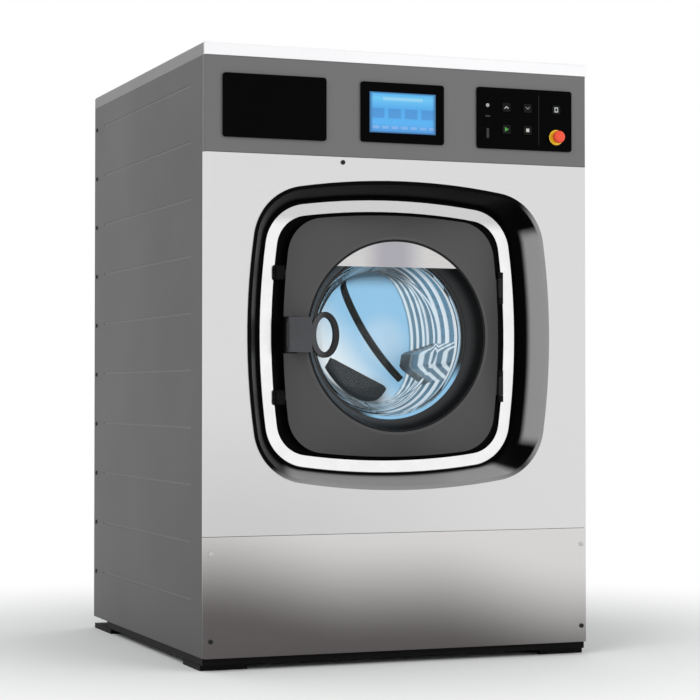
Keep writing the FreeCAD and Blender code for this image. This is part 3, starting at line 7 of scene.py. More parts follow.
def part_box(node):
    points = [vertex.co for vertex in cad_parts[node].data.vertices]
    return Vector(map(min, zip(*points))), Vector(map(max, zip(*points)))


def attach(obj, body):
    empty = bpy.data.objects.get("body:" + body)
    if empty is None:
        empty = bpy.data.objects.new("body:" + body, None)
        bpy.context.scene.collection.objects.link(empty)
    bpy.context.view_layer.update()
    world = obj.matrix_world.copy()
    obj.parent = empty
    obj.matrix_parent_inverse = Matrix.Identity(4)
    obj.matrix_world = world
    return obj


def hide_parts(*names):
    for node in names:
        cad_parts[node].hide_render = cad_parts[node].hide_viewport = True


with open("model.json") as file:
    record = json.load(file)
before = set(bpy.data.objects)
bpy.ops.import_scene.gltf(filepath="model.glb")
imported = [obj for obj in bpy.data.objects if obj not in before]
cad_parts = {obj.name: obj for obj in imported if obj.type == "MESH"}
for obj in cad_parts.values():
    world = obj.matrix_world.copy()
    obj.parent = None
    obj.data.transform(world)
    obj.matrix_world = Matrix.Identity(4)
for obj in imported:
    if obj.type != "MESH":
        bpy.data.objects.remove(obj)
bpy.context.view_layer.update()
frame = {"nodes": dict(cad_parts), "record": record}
nodes = frame["nodes"]
print("frame loaded:", len(nodes), "pieces")

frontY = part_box("upper_front_panel")[0].y  # outer face of the front sheets
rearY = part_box("rear_panel")[1].y
doorZ = 0.711  # height of the drum axis


# A value in a shader tree, so that shader maths reads as plain sums
class Val:
    def __init__(self, finish, socket):
        self.finish = finish
        self.socket = socket

    def __add__(self, other):
        return self.finish.maths("ADD", self, other)

    def __radd__(self, other):
        return self.finish.maths("ADD", other, self)

    def __sub__(self, other):
        return self.finish.maths("SUBTRACT", self, other)

    def __rsub__(self, other):
        return self.finish.maths("SUBTRACT", other, self)

    def __mul__(self, other):
        return self.finish.maths("MULTIPLY", self, other)

    def __rmul__(self, other):
        return self.finish.maths("MULTIPLY", other, self)

    def __truediv__(self, other):
        return self.finish.maths("DIVIDE", self, other)

    def __rtruediv__(self, other):
        return self.finish.maths("DIVIDE", other, self)

    def __pow__(self, other):
        return self.finish.maths("POWER", self, other)

    def __gt__(self, other):
        return self.finish.maths("GREATER_THAN", self, other)

    def __lt__(self, other):
        return self.finish.maths("LESS_THAN", self, other)

    def __abs__(self):
        return self.finish.maths("ABSOLUTE", self)


# One material: a Principled shader and the nodes that feed it
class Finish:
    def __init__(self, name, **constants):
        self.material = bpy.data.materials.new(name)
        self.material.use_nodes = True
        self.tree = self.material.node_tree
        self.shader = self.tree.nodes["Principled BSDF"]
        for socketName, value in constants.items():
            self.shader.inputs[socketName.replace("_", " ")].default_value = value
        self.coords = self.add("ShaderNodeTexCoord", out="Object")
        self.x, self.y, self.z = self.split(self.coords)

    def add(self, kind, settings=None, sockets=None, out=0):
        node = self.tree.nodes.new(kind)
        for key, value in (settings or {}).items():
            if key == "stops":
                elements = node.color_ramp.elements
                while len(elements) < len(value):
                    elements.new(1.0)
                for element, (position, colour) in zip(elements, value):
                    element.position = position
                    element.color = (*colour, 1.0)
            else:
                setattr(node, key, value)
        for key, value in (sockets or {}).items():
            self.plug(node.inputs[key], value)
        return Val(self, node.outputs[out])

    def plug(self, socket, value):
        if isinstance(value, Val):
            self.tree.links.new(value.socket, socket)
        elif isinstance(value, tuple) and len(value) == 3 and socket.type == "RGBA":
            socket.default_value = (*value, 1.0)
        else:
            socket.default_value = value

    def split(self, vector):
        node = self.add("ShaderNodeSeparateXYZ", {}, {0: vector}).socket.node
        return [Val(self, output) for output in node.outputs]

    def maths(self, operation, first, second=0.0):
        return self.add("ShaderNodeMath", {"operation": operation}, {0: first, 1: second})

    def larger(self, first, second):
        return self.maths("MAXIMUM", first, second)

    def smooth(self, value, low, high):
        settings = {"interpolation_type": "SMOOTHSTEP"}
        return self.add("ShaderNodeMapRange", settings, {"Value": value, "From Min": low, "From Max": high})

    def noise(self, scale, detail, stretch=None):
        vector = self.coords
        if stretch:
            vector = self.add("ShaderNodeMapping", {}, {"Vector": vector, "Scale": stretch})
        sockets = {"Vector": vector, "Scale": scale, "Detail": detail}
        return self.add("ShaderNodeTexNoise", {}, sockets, out="Fac")

    def blend(self, factor, first, second):
        settings = {"data_type": "RGBA"}
        return self.add("ShaderNodeMix", settings, {0: factor, 6: first, 7: second}, out=2)

    def ramp(self, value, stops):
        return self.add("ShaderNodeValToRGB", {"stops": stops}, {0: value}, out="Color")

    def feed(self, **sockets):
        for socketName, value in sockets.items():
            self.plug(self.shader.inputs[socketName.replace("_", " ")], value)
        return self

    def bump(self, height, strength, distance):
        sockets = {"Strength": strength, "Distance": distance, "Height": height}
        normal = self.add("ShaderNodeBump", {}, sockets, out="Normal")
        return self.feed(Normal=normal)


# A colour made darker or lighter
def shade(colour, factor):
    return tuple(min(1.0, channel * factor) for channel in colour)


# Powder coat: roughness in soft clouds and the fine orange peel of the coat
def powderCoat(finish, roughness, peel=0.12):
    cloud = finish.noise(3.5, 3.0)
    dust = finish.noise(900.0, 1.0)
    finish.feed(Roughness=roughness - 0.05 + cloud * 0.1)
    finish.bump(dust, peel, 0.0004)
    return cloud, dust


# Powder-coated sheet of one colour, slightly cloudy
def paintedSheet(name, colour, roughness, peel=0.12, shine=0.5):
    finish = Finish(name, Metallic=0.0, Specular_IOR_Level=shine)
    cloud, dust = powderCoat(finish, roughness, peel)
    tone = finish.blend(cloud, shade(colour, 0.94), shade(colour, 1.06))
    return finish.feed(Base_Color=finish.blend(dust * 0.35, tone, shade(colour, 1.25)))


lidEdge = {"white": 0.0052, "grey": 0.0062}  # where the trim's white ends, behind the front


# Lid: grey, with the white of the trim carried over its rolled front edge
def lidPaint(name, colour, trim, roughness):
    finish = Finish(name, Metallic=0.0)
    powderCoat(finish, roughness)
    edge = finish.smooth(finish.y - frontY, lidEdge["grey"], lidEdge["white"])
    return finish.feed(Base_Color=finish.blend(edge, colour, trim))


sidePaintedLight = {"run": (-0.5, 0.5), "front": 0.86, "rear": 1.1, "lineDepth": (-0.0011, -0.0003), "line": 1.7}


# Side panels: the same coat, with painted shade making them darker towards the front, and painted highlights
# making the floors of the pressed lines lighter
def sidePaintAndShading(name, colour, roughness):
    finish = Finish(name, Metallic=0.0)
    powderCoat(finish, roughness)
    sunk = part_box("side_panel_left")[0].x + abs(finish.x)
    deep, shallow = sidePaintedLight["lineDepth"]
    # painted highlight on the floors of the pressed lines
    paintedGrooveHighlight = (sunk < shallow) * (sunk > deep)
    front, rear = shade(colour, sidePaintedLight["front"]), shade(colour, sidePaintedLight["rear"])
    # painted shade: darker towards the front, lighter towards the rear
    tone = finish.blend(finish.smooth(finish.y, *sidePaintedLight["run"]), front, rear)
    return finish.feed(Base_Color=finish.blend(paintedGrooveHighlight, tone, shade(colour, sidePaintedLight["line"])))


# Stainless sheet with the short streaks of a belt-ground finish, along X or along Z
def groundStainless(name, colour, roughness, alongX=True):
    finish = Finish(name, Metallic=1.0)
    stretch = (5.0, 60.0, 900.0) if alongX else (900.0, 60.0, 5.0)
    streak = finish.noise(1.0, 4.0, stretch)
    cloud = finish.noise(2.2, 2.0)
    tone = finish.blend(streak, shade(colour, 0.93), shade(colour, 1.05))
    finish.tone = finish.blend(cloud * 0.4, tone, shade(colour, 0.95))
    finish.feed(Base_Color=finish.tone, Roughness=roughness - 0.08 + streak * 0.16)
    return finish.bump(streak, 0.08, 0.0002)


# Skin of a moulding: a faint spark-eroded grain, or nearly none when it is glossy
def mouldedSkin(finish, roughness, grain):
    fine = finish.noise(1400.0, 1.0)
    cloud = finish.noise(9.0, 2.0)
    finish.feed(Roughness=roughness - 0.04 + cloud * 0.08)
    finish.bump(fine, grain, 0.0002)
    return cloud


def mouldedPlastic(name, colour, roughness, grain=0.1, shine=0.5):
    finish = Finish(name, Metallic=0.0, Specular_IOR_Level=shine)
    cloud = mouldedSkin(finish, roughness, grain)
    return finish.feed(Base_Color=finish.blend(cloud, shade(colour, 0.92), shade(colour, 1.08)))


handleHighlight = {"from": -0.172, "full": -0.19}  # x at which the loop passes into the bar


# Handle: satin plastic, with a painted highlight making the bar lighter than the loop
def handlePlastic(name, loop, bar):
    finish = Finish(name, Metallic=0.0, Specular_IOR_Level=0.25)
    cloud = mouldedSkin(finish, 0.35, 0.05)
    # painted highlight on the bar, varied a little by the cloud
    barHighlight = finish.smooth(finish.x, handleHighlight["from"], handleHighlight["full"]) * (0.75 + cloud * 0.5)
    return finish.feed(Base_Color=finish.blend(barHighlight, loop, bar))


funnelDepth = {"black": 0.25, "grey": 0.7}  # shares of the funnel's depth


# Porthole funnel: black at the face, with a painted sheen that makes it greyer towards the glass
def funnelBlack(name, front, deep):
    finish = Finish(name, Metallic=0.0, Specular_IOR_Level=0.2)
    mouldedSkin(finish, 0.3, 0.03)
    low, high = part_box("porthole_funnel")
    # painted sheen growing with depth towards the glass
    paintedGlassSheen = finish.smooth((finish.y - low.y) / (high.y - low.y), funnelDepth["black"], funnelDepth["grey"])
    return finish.feed(Base_Color=finish.blend(paintedGlassSheen, front, deep))


def rubberCompound(name, colour):
    finish = Finish(name, Metallic=0.0)
    fine = finish.noise(700.0, 2.0)
    bloom = finish.noise(14.0, 3.0)
    finish.feed(Base_Color=finish.blend(bloom, colour, shade(colour, 1.5)), Roughness=0.62 + bloom * 0.2)
    return finish.bump(fine, 0.25, 0.0004)


# Casting under paint: the sand's texture shows through
def paintedCasting(name, colour):
    finish = Finish(name, Metallic=0.0)
    sand = finish.noise(260.0, 4.0)
    wear = finish.smooth(finish.noise(18.0, 4.0), 0.62, 0.74)
    finish.feed(Base_Color=finish.blend(wear * 0.35, colour, (0.09, 0.07, 0.06)), Roughness=0.5 + sand * 0.2)
    return finish.bump(sand, 0.35, 0.0008)


# Turned or plated steel: a fine grain and faint stains
def platedSteel(name, colour, roughness):
    finish = Finish(name, Metallic=1.0)
    grain = finish.noise(500.0, 3.0)
    stain = finish.noise(25.0, 3.0)
    finish.tone = finish.blend(stain, shade(colour, 0.88), shade(colour, 1.06))
    finish.feed(Base_Color=finish.tone, Roughness=roughness + stain * 0.12)
    return finish.bump(grain, 0.08, 0.0002)


ringPaintedReflection = {"bright": 0.235, "dull": 0.262}  # heights above the door's middle


# Bright ring: plated, with a painted reflection of the black surround making it duller along its top
def ringSilver(name, colour, dull, roughness):
    finish = platedSteel(name, colour, roughness)
    # painted reflection along the ring's top
    top = finish.smooth(finish.z - doorZ, ringPaintedReflection["bright"], ringPaintedReflection["dull"])
    return finish.feed(Base_Color=finish.blend(top, finish.tone, dull))


def clearGlass(name, tint):
    finish = Finish(name, Metallic=0.0, Transmission_Weight=1.0, IOR=1.2)
    film = finish.noise(6.0, 3.0)
    return finish.feed(Base_Color=finish.blend(film, tint, (1.0, 1.0, 1.0)), Roughness=0.01 + film * 0.02)


# Share of painted shade that grows downwards from the door's middle and towards the left
def lowSide(finish, look):
    return finish.smooth(doorZ - finish.z, *look["below"]) * finish.smooth(finish.x, *look["across"])


upperShade = {"below": (0.05, 0.5), "across": (0.4, -0.4), "dark": 0.82}


# Upper front panel: the same steel, with a painted shade making it a little darker towards its lower left
def upperStainless(name, colour, roughness):
    finish = groundStainless(name, colour, roughness)
    # painted shade towards the lower left
    low = lowSide(finish, upperShade)
    return finish.feed(Base_Color=finish.blend(low, finish.tone, shade(colour, upperShade["dark"])))


lowerShade = {
    "foot": 0.05, "height": 0.2, "reach": 1.3, "dark": (0.124, 0.113, 0.114),
    "right": (0.05, 0.45), "rightLift": 0.35, "slant": 0.15, "left": (-0.45, -0.1), "leftDrop": 0.25,
}


# Lower service panel: the same steel, with a painted reflection of the floor's shadow making it darker
# towards its lower left
def lowerStainless(name, colour, roughness):
    finish = groundStainless(name, colour, roughness)
    lift = finish.smooth(finish.x, *lowerShade["right"]) * lowerShade["rightLift"]
    lift = lift + (finish.x - lowerShade["left"][0]) * lowerShade["slant"]
    drop = (1 - finish.smooth(finish.x, *lowerShade["left"])) * lowerShade["leftDrop"]
    height = (finish.z - lowerShade["foot"]) / lowerShade["height"]
    # painted reflection of the floor's shadow, in a slightly warm dark
    shadow = 1 - finish.smooth(height + lift - drop, 0.0, lowerShade["reach"])
    return finish.feed(Base_Color=finish.blend(shadow, finish.tone, lowerShade["dark"]))


surroundSheen = {
    "sideFacing": (0.8, 0.88), "sideDepth": (0.05, 0.034),
    "floorFacing": (0.78, 0.93), "floorDepth": (0.078, 0.055),
    "floorBase": 0.85, "floorRight": (0.05, 0.3), "floorGain": 0.5,
    "lapDepth": 0.0006, "lapRight": (0.28, 0.33), "lapLow": (0.28, 0.32), "lap": 0.7,
}


# Black surround: satin, with a painted grey sheen on the walls that face left and up, left black deeper in as
# painted shade, and on the front flange along the right and the bottom, but not at their corner
def surroundBlack(name, colour, sheen):
    finish = Finish(name, Metallic=0.0, Specular_IOR_Level=0.02)
    mouldedSkin(finish, 0.34, 0.03)
    normal = finish.split(finish.add("ShaderNodeTexCoord", out="Normal"))
    depth = finish.y - frontY
    # painted sheen on the walls facing left, fading back to black deeper in as painted shade
    side = finish.smooth(-1 * normal[0], *surroundSheen["sideFacing"])
    side = side * finish.smooth(depth, *surroundSheen["sideDepth"])
    gain = finish.smooth(finish.x, *surroundSheen["floorRight"]) * surroundSheen["floorGain"]
    lower = finish.smooth(normal[2], *surroundSheen["floorFacing"]) * (surroundSheen["floorBase"] + gain)
    lower = lower * finish.smooth(depth, *surroundSheen["floorDepth"])
    right = finish.smooth(finish.x, *surroundSheen["lapRight"])
    low = finish.smooth(doorZ - finish.z, *surroundSheen["lapLow"])
    # painted sheen on the front flange along the right and the bottom
    lap = (depth < surroundSheen["lapDepth"]) * (right + low - 2 * (right * low)) * surroundSheen["lap"]
    lit = finish.larger(finish.larger(side, lower), lap)
    return finish.feed(Base_Color=finish.blend(lit, colour, sheen))


# painted light of the drum: glow is the strength of a painted glow standing for light inside the drum, lit,
# pale and unlit colour it, and dark is painted shade in the base colour
drumLook = {
    "bands": 5, "glow": 0.7,
    "steel": (0.2, 0.25, 0.28), "dark": (0.03, 0.032, 0.034),
    "lit": (0.3, 0.62, 0.9), "pale": (0.85, 0.95, 1.0), "unlit": (0.03, 0.035, 0.036),
    "lifterEnd": (0.06, 0.1),
}


# Painted highlights and shade in bands along the drum, one pair for each pressed band of its wall
def paintedBandHighlight(finish):
    low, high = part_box("drum_shell")
    pitch = (high.y - low.y) / (drumLook["bands"] + 1)
    return finish.smooth(finish.maths("COSINE", (finish.y - low.y) * (math.tau / pitch)), -0.3, 0.6)


# Distance from the drum's axis
def axisRadius(finish):
    return finish.maths("SQRT", finish.x * finish.x + (finish.z - doorZ) ** 2.0)


# Share of painted shade in the drum's painted glow: the top and the lower left
def paintedLampShadow(finish, look):
    over = finish.smooth(finish.z - doorZ, *look["above"])
    return finish.larger(over, lowSide(finish, look)) * look["dim"]


wallLook = {"below": (0.17, 0.28), "across": (0.24, 0.12), "above": (0.14, 0.27), "dim": 0.9}


# Drum wall: stainless with pressed bands and a blue painted glow standing for light inside the drum, with
# painted highlights along the bands and painted shade at the top and the lower left
def drumWall(name):
    finish = Finish(name, Metallic=1.0, Emission_Strength=drumLook["glow"])
    cloud = finish.noise(5.0, 3.0)
    grain = finish.noise(1.0, 3.0, (60.0, 900.0, 60.0))
    finish.feed(Base_Color=finish.blend(grain, shade(drumLook["steel"], 0.9), shade(drumLook["steel"], 1.1)))
    lit = finish.blend(paintedBandHighlight(finish), shade(drumLook["lit"], 0.12), shade(drumLook["pale"], 1.2))
    lit = finish.blend(cloud * 0.3, lit, drumLook["lit"])
    # painted shade in the glow at the top and the lower left
    glow = finish.blend(paintedLampShadow(finish, wallLook), lit, drumLook["unlit"])
    finish.feed(Emission_Color=glow, Roughness=0.22 + cloud * 0.16)
    return finish.bump(grain, 0.1, 0.0003)


backLook = {
    "beadFrom": (0.284, 0.29), "beadStart": 0.289, "beadPitch": 0.0165,  # radii of the pressed rings, which get painted highlights and shade
    "drumSide": (0.1868, 0.1862),  # y of the sheet, of which only the drum's side gets the painted glow
    "beamAt": (0.1, 0.69), "beamLean": 1.2, "beam": (0.12, -0.06),
    "spotX": 0.215, "spotArea": 0.007, "spot": 0.3, "away": (0.09, -0.06), "awayDim": 0.75,
    "below": (0.07, 0.15), "across": (0.25, 0.19), "above": (0.13, 0.185), "dim": 0.85,
}


# Drum back: the same sheet with a blue painted glow standing for light inside the drum: a painted pale beam
# and spot in its middle, painted highlights on the pressed rings, and painted shade to the left, at the top
# and at the lower left, where the base colour is darkened too
def drumBack(name):
    finish = Finish(name, Metallic=1.0, Emission_Strength=drumLook["glow"])
    radius = axisRadius(finish)
    ring = finish.smooth(radius, *backLook["beadFrom"])
    bead = finish.maths("SINE", (radius - backLook["beadStart"]) * (math.tau / backLook["beadPitch"]))
    bead = finish.smooth(bead, -0.3, 0.7)
    inside = finish.smooth(finish.y, *backLook["drumSide"])
    cloud = finish.noise(4.0, 3.0)
    beamX, beamZ = backLook["beamAt"]
    beam = finish.smooth((finish.x - beamX) * backLook["beamLean"] + (finish.z - beamZ), *backLook["beam"])
    spot = (finish.x - backLook["spotX"]) ** 2.0 + (finish.z - doorZ) ** 2.0
    spot = finish.smooth(spot, backLook["spotArea"], 0.0) * backLook["spot"]
    lit = finish.blend(cloud, shade(drumLook["lit"], 0.85), shade(drumLook["lit"], 1.1))
    lit = finish.blend(finish.larger(beam, spot), lit, shade(drumLook["pale"], 1.15))
    lit = finish.blend(ring, lit, finish.blend(bead, shade(drumLook["lit"], 0.3), drumLook["pale"]))
    # painted shade towards the left of the drum's back
    away = finish.smooth(finish.x, *backLook["away"]) * backLook["awayDim"]
    lit = finish.blend(away, lit, shade(drumLook["lit"], 0.18))
    dim = paintedLampShadow(finish, backLook)
    # painted shade darkens the base colour as well as the glow
    finish.feed(Base_Color=finish.blend(dim, drumLook["steel"], drumLook["dark"]))
    glow = finish.blend(dim, lit, drumLook["unlit"])
    finish.feed(Emission_Color=finish.blend(inside, (0.0, 0.0, 0.0), glow), Roughness=0.3 + cloud * 0.1)
    return finish.bump(cloud, 0.05, 0.0005)


# Drum lifter: bright folded sheet whose blue painted glow holds a painted reflection of the wall's bands,
# with painted shade at the end next to the drum's back
def lifterSheet(name):
    finish = groundStainless(name, (0.2, 0.23, 0.25), 0.35, False)
    finish.feed(Emission_Strength=drumLook["glow"])
    lit = finish.blend(paintedBandHighlight(finish), shade(drumLook["lit"], 0.2), shade(drumLook["pale"], 0.9))
    # painted shade at the end next to the drum's back, in the base colour and the glow
    far = finish.smooth(finish.y, *drumLook["lifterEnd"])
    finish.feed(Base_Color=finish.blend(far, finish.tone, drumLook["unlit"]))
    return finish.feed(Emission_Color=finish.blend(far, lit, drumLook["unlit"]))


screenPage = {
    "glass": (0.02, 0.05, 0.08),
    "stops": [(0.0, (0.08, 0.3, 0.75)), (0.25, (0.1, 0.48, 0.98)), (0.6, (0.08, 0.42, 0.9)),
              (0.85, (0.16, 0.62, 1.0)), (1.0, (0.08, 0.46, 0.95))],
    "tiles": 4.0, "tile": (0.12, 0.88), "tileRow": (0.36, 0.6),
    "tileTone": (0.05, 0.16, 0.5), "tileShare": 0.45,
    "titleRow": (0.8, 0.88), "title": (0.2, 0.8), "titleTone": (0.5, 0.8, 0.95), "titleShare": 0.5,
    "dashes": 7.0, "dash": 0.3, "dashRow": (0.1, 0.17), "dashTone": (0.45, 0.6, 0.9), "dashShare": 0.4,
    "edge": (0.44, 0.5), "edgeTone": (0.03, 0.12, 0.3), "glow": 0.8,
}


# Touch screen: a blue page with a title bar, a row of tiles and a status line, none of them lettered
def litScreen(name):
    low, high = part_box("screen_glass")
    finish = Finish(name, Metallic=0.0, Specular_IOR_Level=0.2, Roughness=0.12)
    across = (finish.x - low.x) / (high.x - low.x)
    up = (finish.z - low.z) / (high.z - low.z)

    def within(value, limits):
        return (value > limits[0]) * (value < limits[1])

    tile = within(finish.maths("FRACT", across * screenPage["tiles"]), screenPage["tile"])
    tile = tile * within(up, screenPage["tileRow"])
    title = within(up, screenPage["titleRow"]) * within(across, screenPage["title"])
    dash = finish.maths("FRACT", across * screenPage["dashes"]) > screenPage["dash"]
    dash = dash * within(up, screenPage["dashRow"])
    page = finish.ramp(up, screenPage["stops"])
    for shape, mark in ((tile, "tile"), (title, "title"), (dash, "dash")):
        page = finish.blend(shape * screenPage[mark + "Share"], page, screenPage[mark + "Tone"])
    edge = finish.larger(abs(across - 0.5), abs(up - 0.5))
    page = finish.blend(finish.smooth(edge, *screenPage["edge"]), page, screenPage["edgeTone"])
    finish.feed(Base_Color=screenPage["glass"], Emission_Strength=screenPage["glow"])
    return finish.feed(Emission_Color=page)


plateShine = {"middle": -0.01, "dull": 0.015, "bright": 0.085}  # x of the middle, and distances from it


# Polished segment plate over the porthole, with a painted reflection of the room making it duller towards its
# middle
def segmentSteel(name, dull, bright, roughness):
    finish = Finish(name, Metallic=1.0)
    streak = finish.noise(1.0, 3.0, (30.0, 60.0, 700.0))
    away = abs(finish.x - plateShine["middle"])
    # painted reflection: duller towards the middle
    tone = finish.blend(finish.smooth(away, plateShine["dull"], plateShine["bright"]), dull, bright)
    tone = finish.blend(streak * 0.3, tone, shade(dull, 0.9))
    finish.feed(Base_Color=tone, Roughness=roughness + streak * 0.06)
    return finish.bump(streak, 0.05, 0.0002)


keyMark = {
    "black": (0.004, 0.004, 0.0043), "printDepth": 0.0008,
    "square": 0.0038, "frame": (0.0024, 0.0046), "frameSquash": 0.8,
    "triangleBack": -0.004, "triangleTip": 0.0055, "triangleSlope": 0.55,
    "arrowSlope": 0.9, "arrowRise": 0.0015, "arrowStroke": 0.0014, "arrowWidth": 0.0048,
}


# Black key with a printed mark on its face that also glows faintly, placed by the key's own box
def markedKey(nodeName, mark, colour, glow):
    low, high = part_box(nodeName)
    finish = Finish("mark " + mark, Metallic=0.0, Specular_IOR_Level=0.1, Emission_Strength=glow)
    grain = finish.noise(1400.0, 1.0)
    across = finish.x - (low.x + high.x) / 2
    up = finish.z - (low.z + high.z) / 2
    wide, tall = abs(across), abs(up)
    if mark == "triangle":
        slope = (keyMark["triangleTip"] - across) * keyMark["triangleSlope"]
        shape = (across > keyMark["triangleBack"]) * (tall < slope)
    elif mark == "square":
        shape = (wide < keyMark["square"]) * (tall < keyMark["square"])
    elif mark == "frame":
        edge = finish.larger(wide, tall * keyMark["frameSquash"])
        shape = (edge > keyMark["frame"][0]) * (edge < keyMark["frame"][1])
    else:
        sign = 1 if mark == "arrow up" else -1
        slope = up + wide * (sign * keyMark["arrowSlope"]) - sign * keyMark["arrowRise"]
        shape = (abs(slope) < keyMark["arrowStroke"]) * (wide < keyMark["arrowWidth"])
    shape = shape * (finish.y < low.y + keyMark["printDepth"])
    finish.feed(Base_Color=finish.blend(shape, keyMark["black"], colour), Roughness=0.4 + grain * 0.1)
    # the mark glows faintly
    finish.feed(Emission_Color=finish.blend(shape, (0.0, 0.0, 0.0), colour))
    return finish.bump(grain, 0.05, 0.0002)


finishes = {
    "frame_black": paintedSheet("frame paint", (0.003, 0.003, 0.0032), 0.6, 0.05, 0.1),
    "panel_grey": paintedSheet("panel paint", (0.05, 0.05, 0.051), 0.5),
    "fascia_grey": paintedSheet("fascia paint", (0.11, 0.11, 0.111), 0.45),
    "stainless": groundStainless("front steel", (0.72, 0.72, 0.72), 0.36),
    "trim_white": paintedSheet("lid trim", (0.74, 0.74, 0.75), 0.35, 0.04),
    "surround_black": surroundBlack("surround black", (0.002, 0.002, 0.0022), (0.34, 0.34, 0.34)),
    "ring_silver": ringSilver("ring silver", (0.92, 0.92, 0.92), (0.62, 0.62, 0.62), 0.12),
    "door_grey": mouldedPlastic("door grey", (0.058, 0.058, 0.059), 0.42, 0.06, 0.3),
    "door_black": mouldedPlastic("door black", (0.007, 0.007, 0.0075), 0.25, 0.03, 0.2),
    "door_glass": clearGlass("door glass", (0.9, 0.96, 0.98)),
    "handle_grey": mouldedPlastic("handle grey", (0.012, 0.012, 0.013), 0.35, 0.05, 0.25),
    "polished": segmentSteel("polished plate", (0.42, 0.41, 0.45), (0.68, 0.67, 0.66), 0.2),
    "drum_steel": groundStainless("drum steel", (0.6, 0.64, 0.67), 0.3),
    "steel": platedSteel("turned steel", (0.5, 0.5, 0.5), 0.25),
    "zinc": platedSteel("zinc plate", (0.58, 0.59, 0.6), 0.32),
    "iron": paintedCasting("pulley iron", (0.06, 0.065, 0.07)),
    "motor_paint": paintedCasting("motor paint", (0.05, 0.08, 0.14)),
    "rubber_black": rubberCompound("belt rubber", (0.014, 0.014, 0.014)),
    "gasket_grey": rubberCompound("gasket rubber", (0.03, 0.03, 0.032)),
    "plastic_white": mouldedPlastic("white plastic", (0.72, 0.73, 0.73), 0.4),
    "plastic_black": mouldedPlastic("black plastic", (0.018, 0.018, 0.019), 0.4, 0.1, 0.3),
    "panel_gloss": mouldedPlastic("panel black", (0.0012, 0.0012, 0.0014), 0.25, 0.02, 0.02),
    "screen_lit": litScreen("screen"),
    "key_grey": mouldedPlastic("key grey", (0.02, 0.02, 0.021), 0.4, 0.1, 0.2),
    "stop_red": mouldedPlastic("stop red", (0.75, 0.06, 0.02), 0.25, 0.02),
    "stop_yellow": mouldedPlastic("stop yellow", (0.85, 0.5, 0.02), 0.3, 0.03),
}
sideCoat = sidePaintAndShading("side paint", (0.05, 0.05, 0.051), 0.5)
nodeFinishes = {
    "side_panel_left": sideCoat,
    "side_panel_right": sideCoat,
    "upper_front_panel": upperStainless("upper front steel", (0.72, 0.72, 0.72), 0.36),
    "lower_service_panel": lowerStainless("lower front steel", (0.7, 0.69, 0.68), 0.36),
    "drum_shell": drumWall("drum wall"),
    "drum_spider": drumBack("drum back"),
    "drum_lifters": lifterSheet("lifter steel"),
    "handle_lever": handlePlastic("handle bar", (0.012, 0.012, 0.013), (0.05, 0.051, 0.056)),
    "porthole_funnel": funnelBlack("funnel black", (0.003, 0.003, 0.0032), (0.045, 0.045, 0.046)),
    "top_cover": lidPaint("lid paint", (0.16, 0.16, 0.162), (0.74, 0.74, 0.75), 0.45),
    "panel_screws": platedSteel("blackened screw", (0.035, 0.035, 0.036), 0.35),
    "key_start": markedKey("key_start", "triangle", (0.06, 0.22, 0.05), 0.3),
    "key_stop": markedKey("key_stop", "square", (0.4, 0.42, 0.38), 0.2),
    "key_up": markedKey("key_up", "arrow up", (0.36, 0.34, 0.36), 0.2),
    "key_down": markedKey("key_down", "arrow down", (0.16, 0.14, 0.15), 0.2),
    "key_door": markedKey("key_door", "frame", (0.32, 0.33, 0.33), 0.2),
}


slotNames = {entry["node"]: entry["material_slot"] for entry in frame["record"]["subparts"]}
for nodeName, slotName in slotNames.items():
    finish = nodeFinishes.get(nodeName, finishes[slotName])
    for slot in nodes[nodeName].material_slots:
        slot.material = finish.material
print("finishes given")


# Modelling helpers: each piece starts as a primitive or a merged copy and is shaped with operators
def objectMode():
    bpy.ops.object.mode_set(mode="OBJECT")


def smoothed(angle):
    bpy.ops.object.shade_smooth_by_angle(angle=math.radians(angle))


def onlyActive(piece):
    bpy.ops.object.select_all(action="DESELECT")
    piece.select_set(True)
    bpy.context.view_layer.objects.active = piece


def editing(piece, kind, test):
    onlyActive(piece)
    mesh = piece.data
    for parts in (mesh.vertices, mesh.edges, mesh.polygons):
        parts.foreach_set("select", [False] * len(parts))
    chosen = {"VERT": mesh.vertices, "EDGE": mesh.edges, "FACE": mesh.polygons}[kind]
    for item in chosen:
        item.select = bool(test(item))
    bpy.context.tool_settings.mesh_select_mode = [kind == each for each in ("VERT", "EDGE", "FACE")]
    bpy.ops.object.mode_set(mode="EDIT")


def done(angle=35.0):
    bpy.ops.mesh.select_all(action="SELECT")
    bpy.ops.mesh.remove_doubles(threshold=1e-6)
    bpy.ops.mesh.dissolve_degenerate(threshold=1e-7)
    bpy.ops.mesh.normals_make_consistent(inside=False)
    objectMode()
    smoothed(angle)


def settled(piece):
    onlyActive(piece)
    bpy.ops.object.transform_apply(location=True, rotation=True, scale=True)
    return piece


def block(name, size, centre=(0.0, 0.0, 0.0)):
    bpy.ops.object.select_all(action="DESELECT")
    bpy.ops.mesh.primitive_cube_add(size=1.0, location=centre, scale=size)
    piece = bpy.context.object
    piece.name = name
    return settled(piece)


def cylinder(name, radius, depth, sides):
    bpy.ops.object.select_all(action="DESELECT")
    bpy.ops.mesh.primitive_cylinder_add(vertices=sides, radius=radius, depth=depth)
    piece = bpy.context.object
    piece.name = name
    return piece


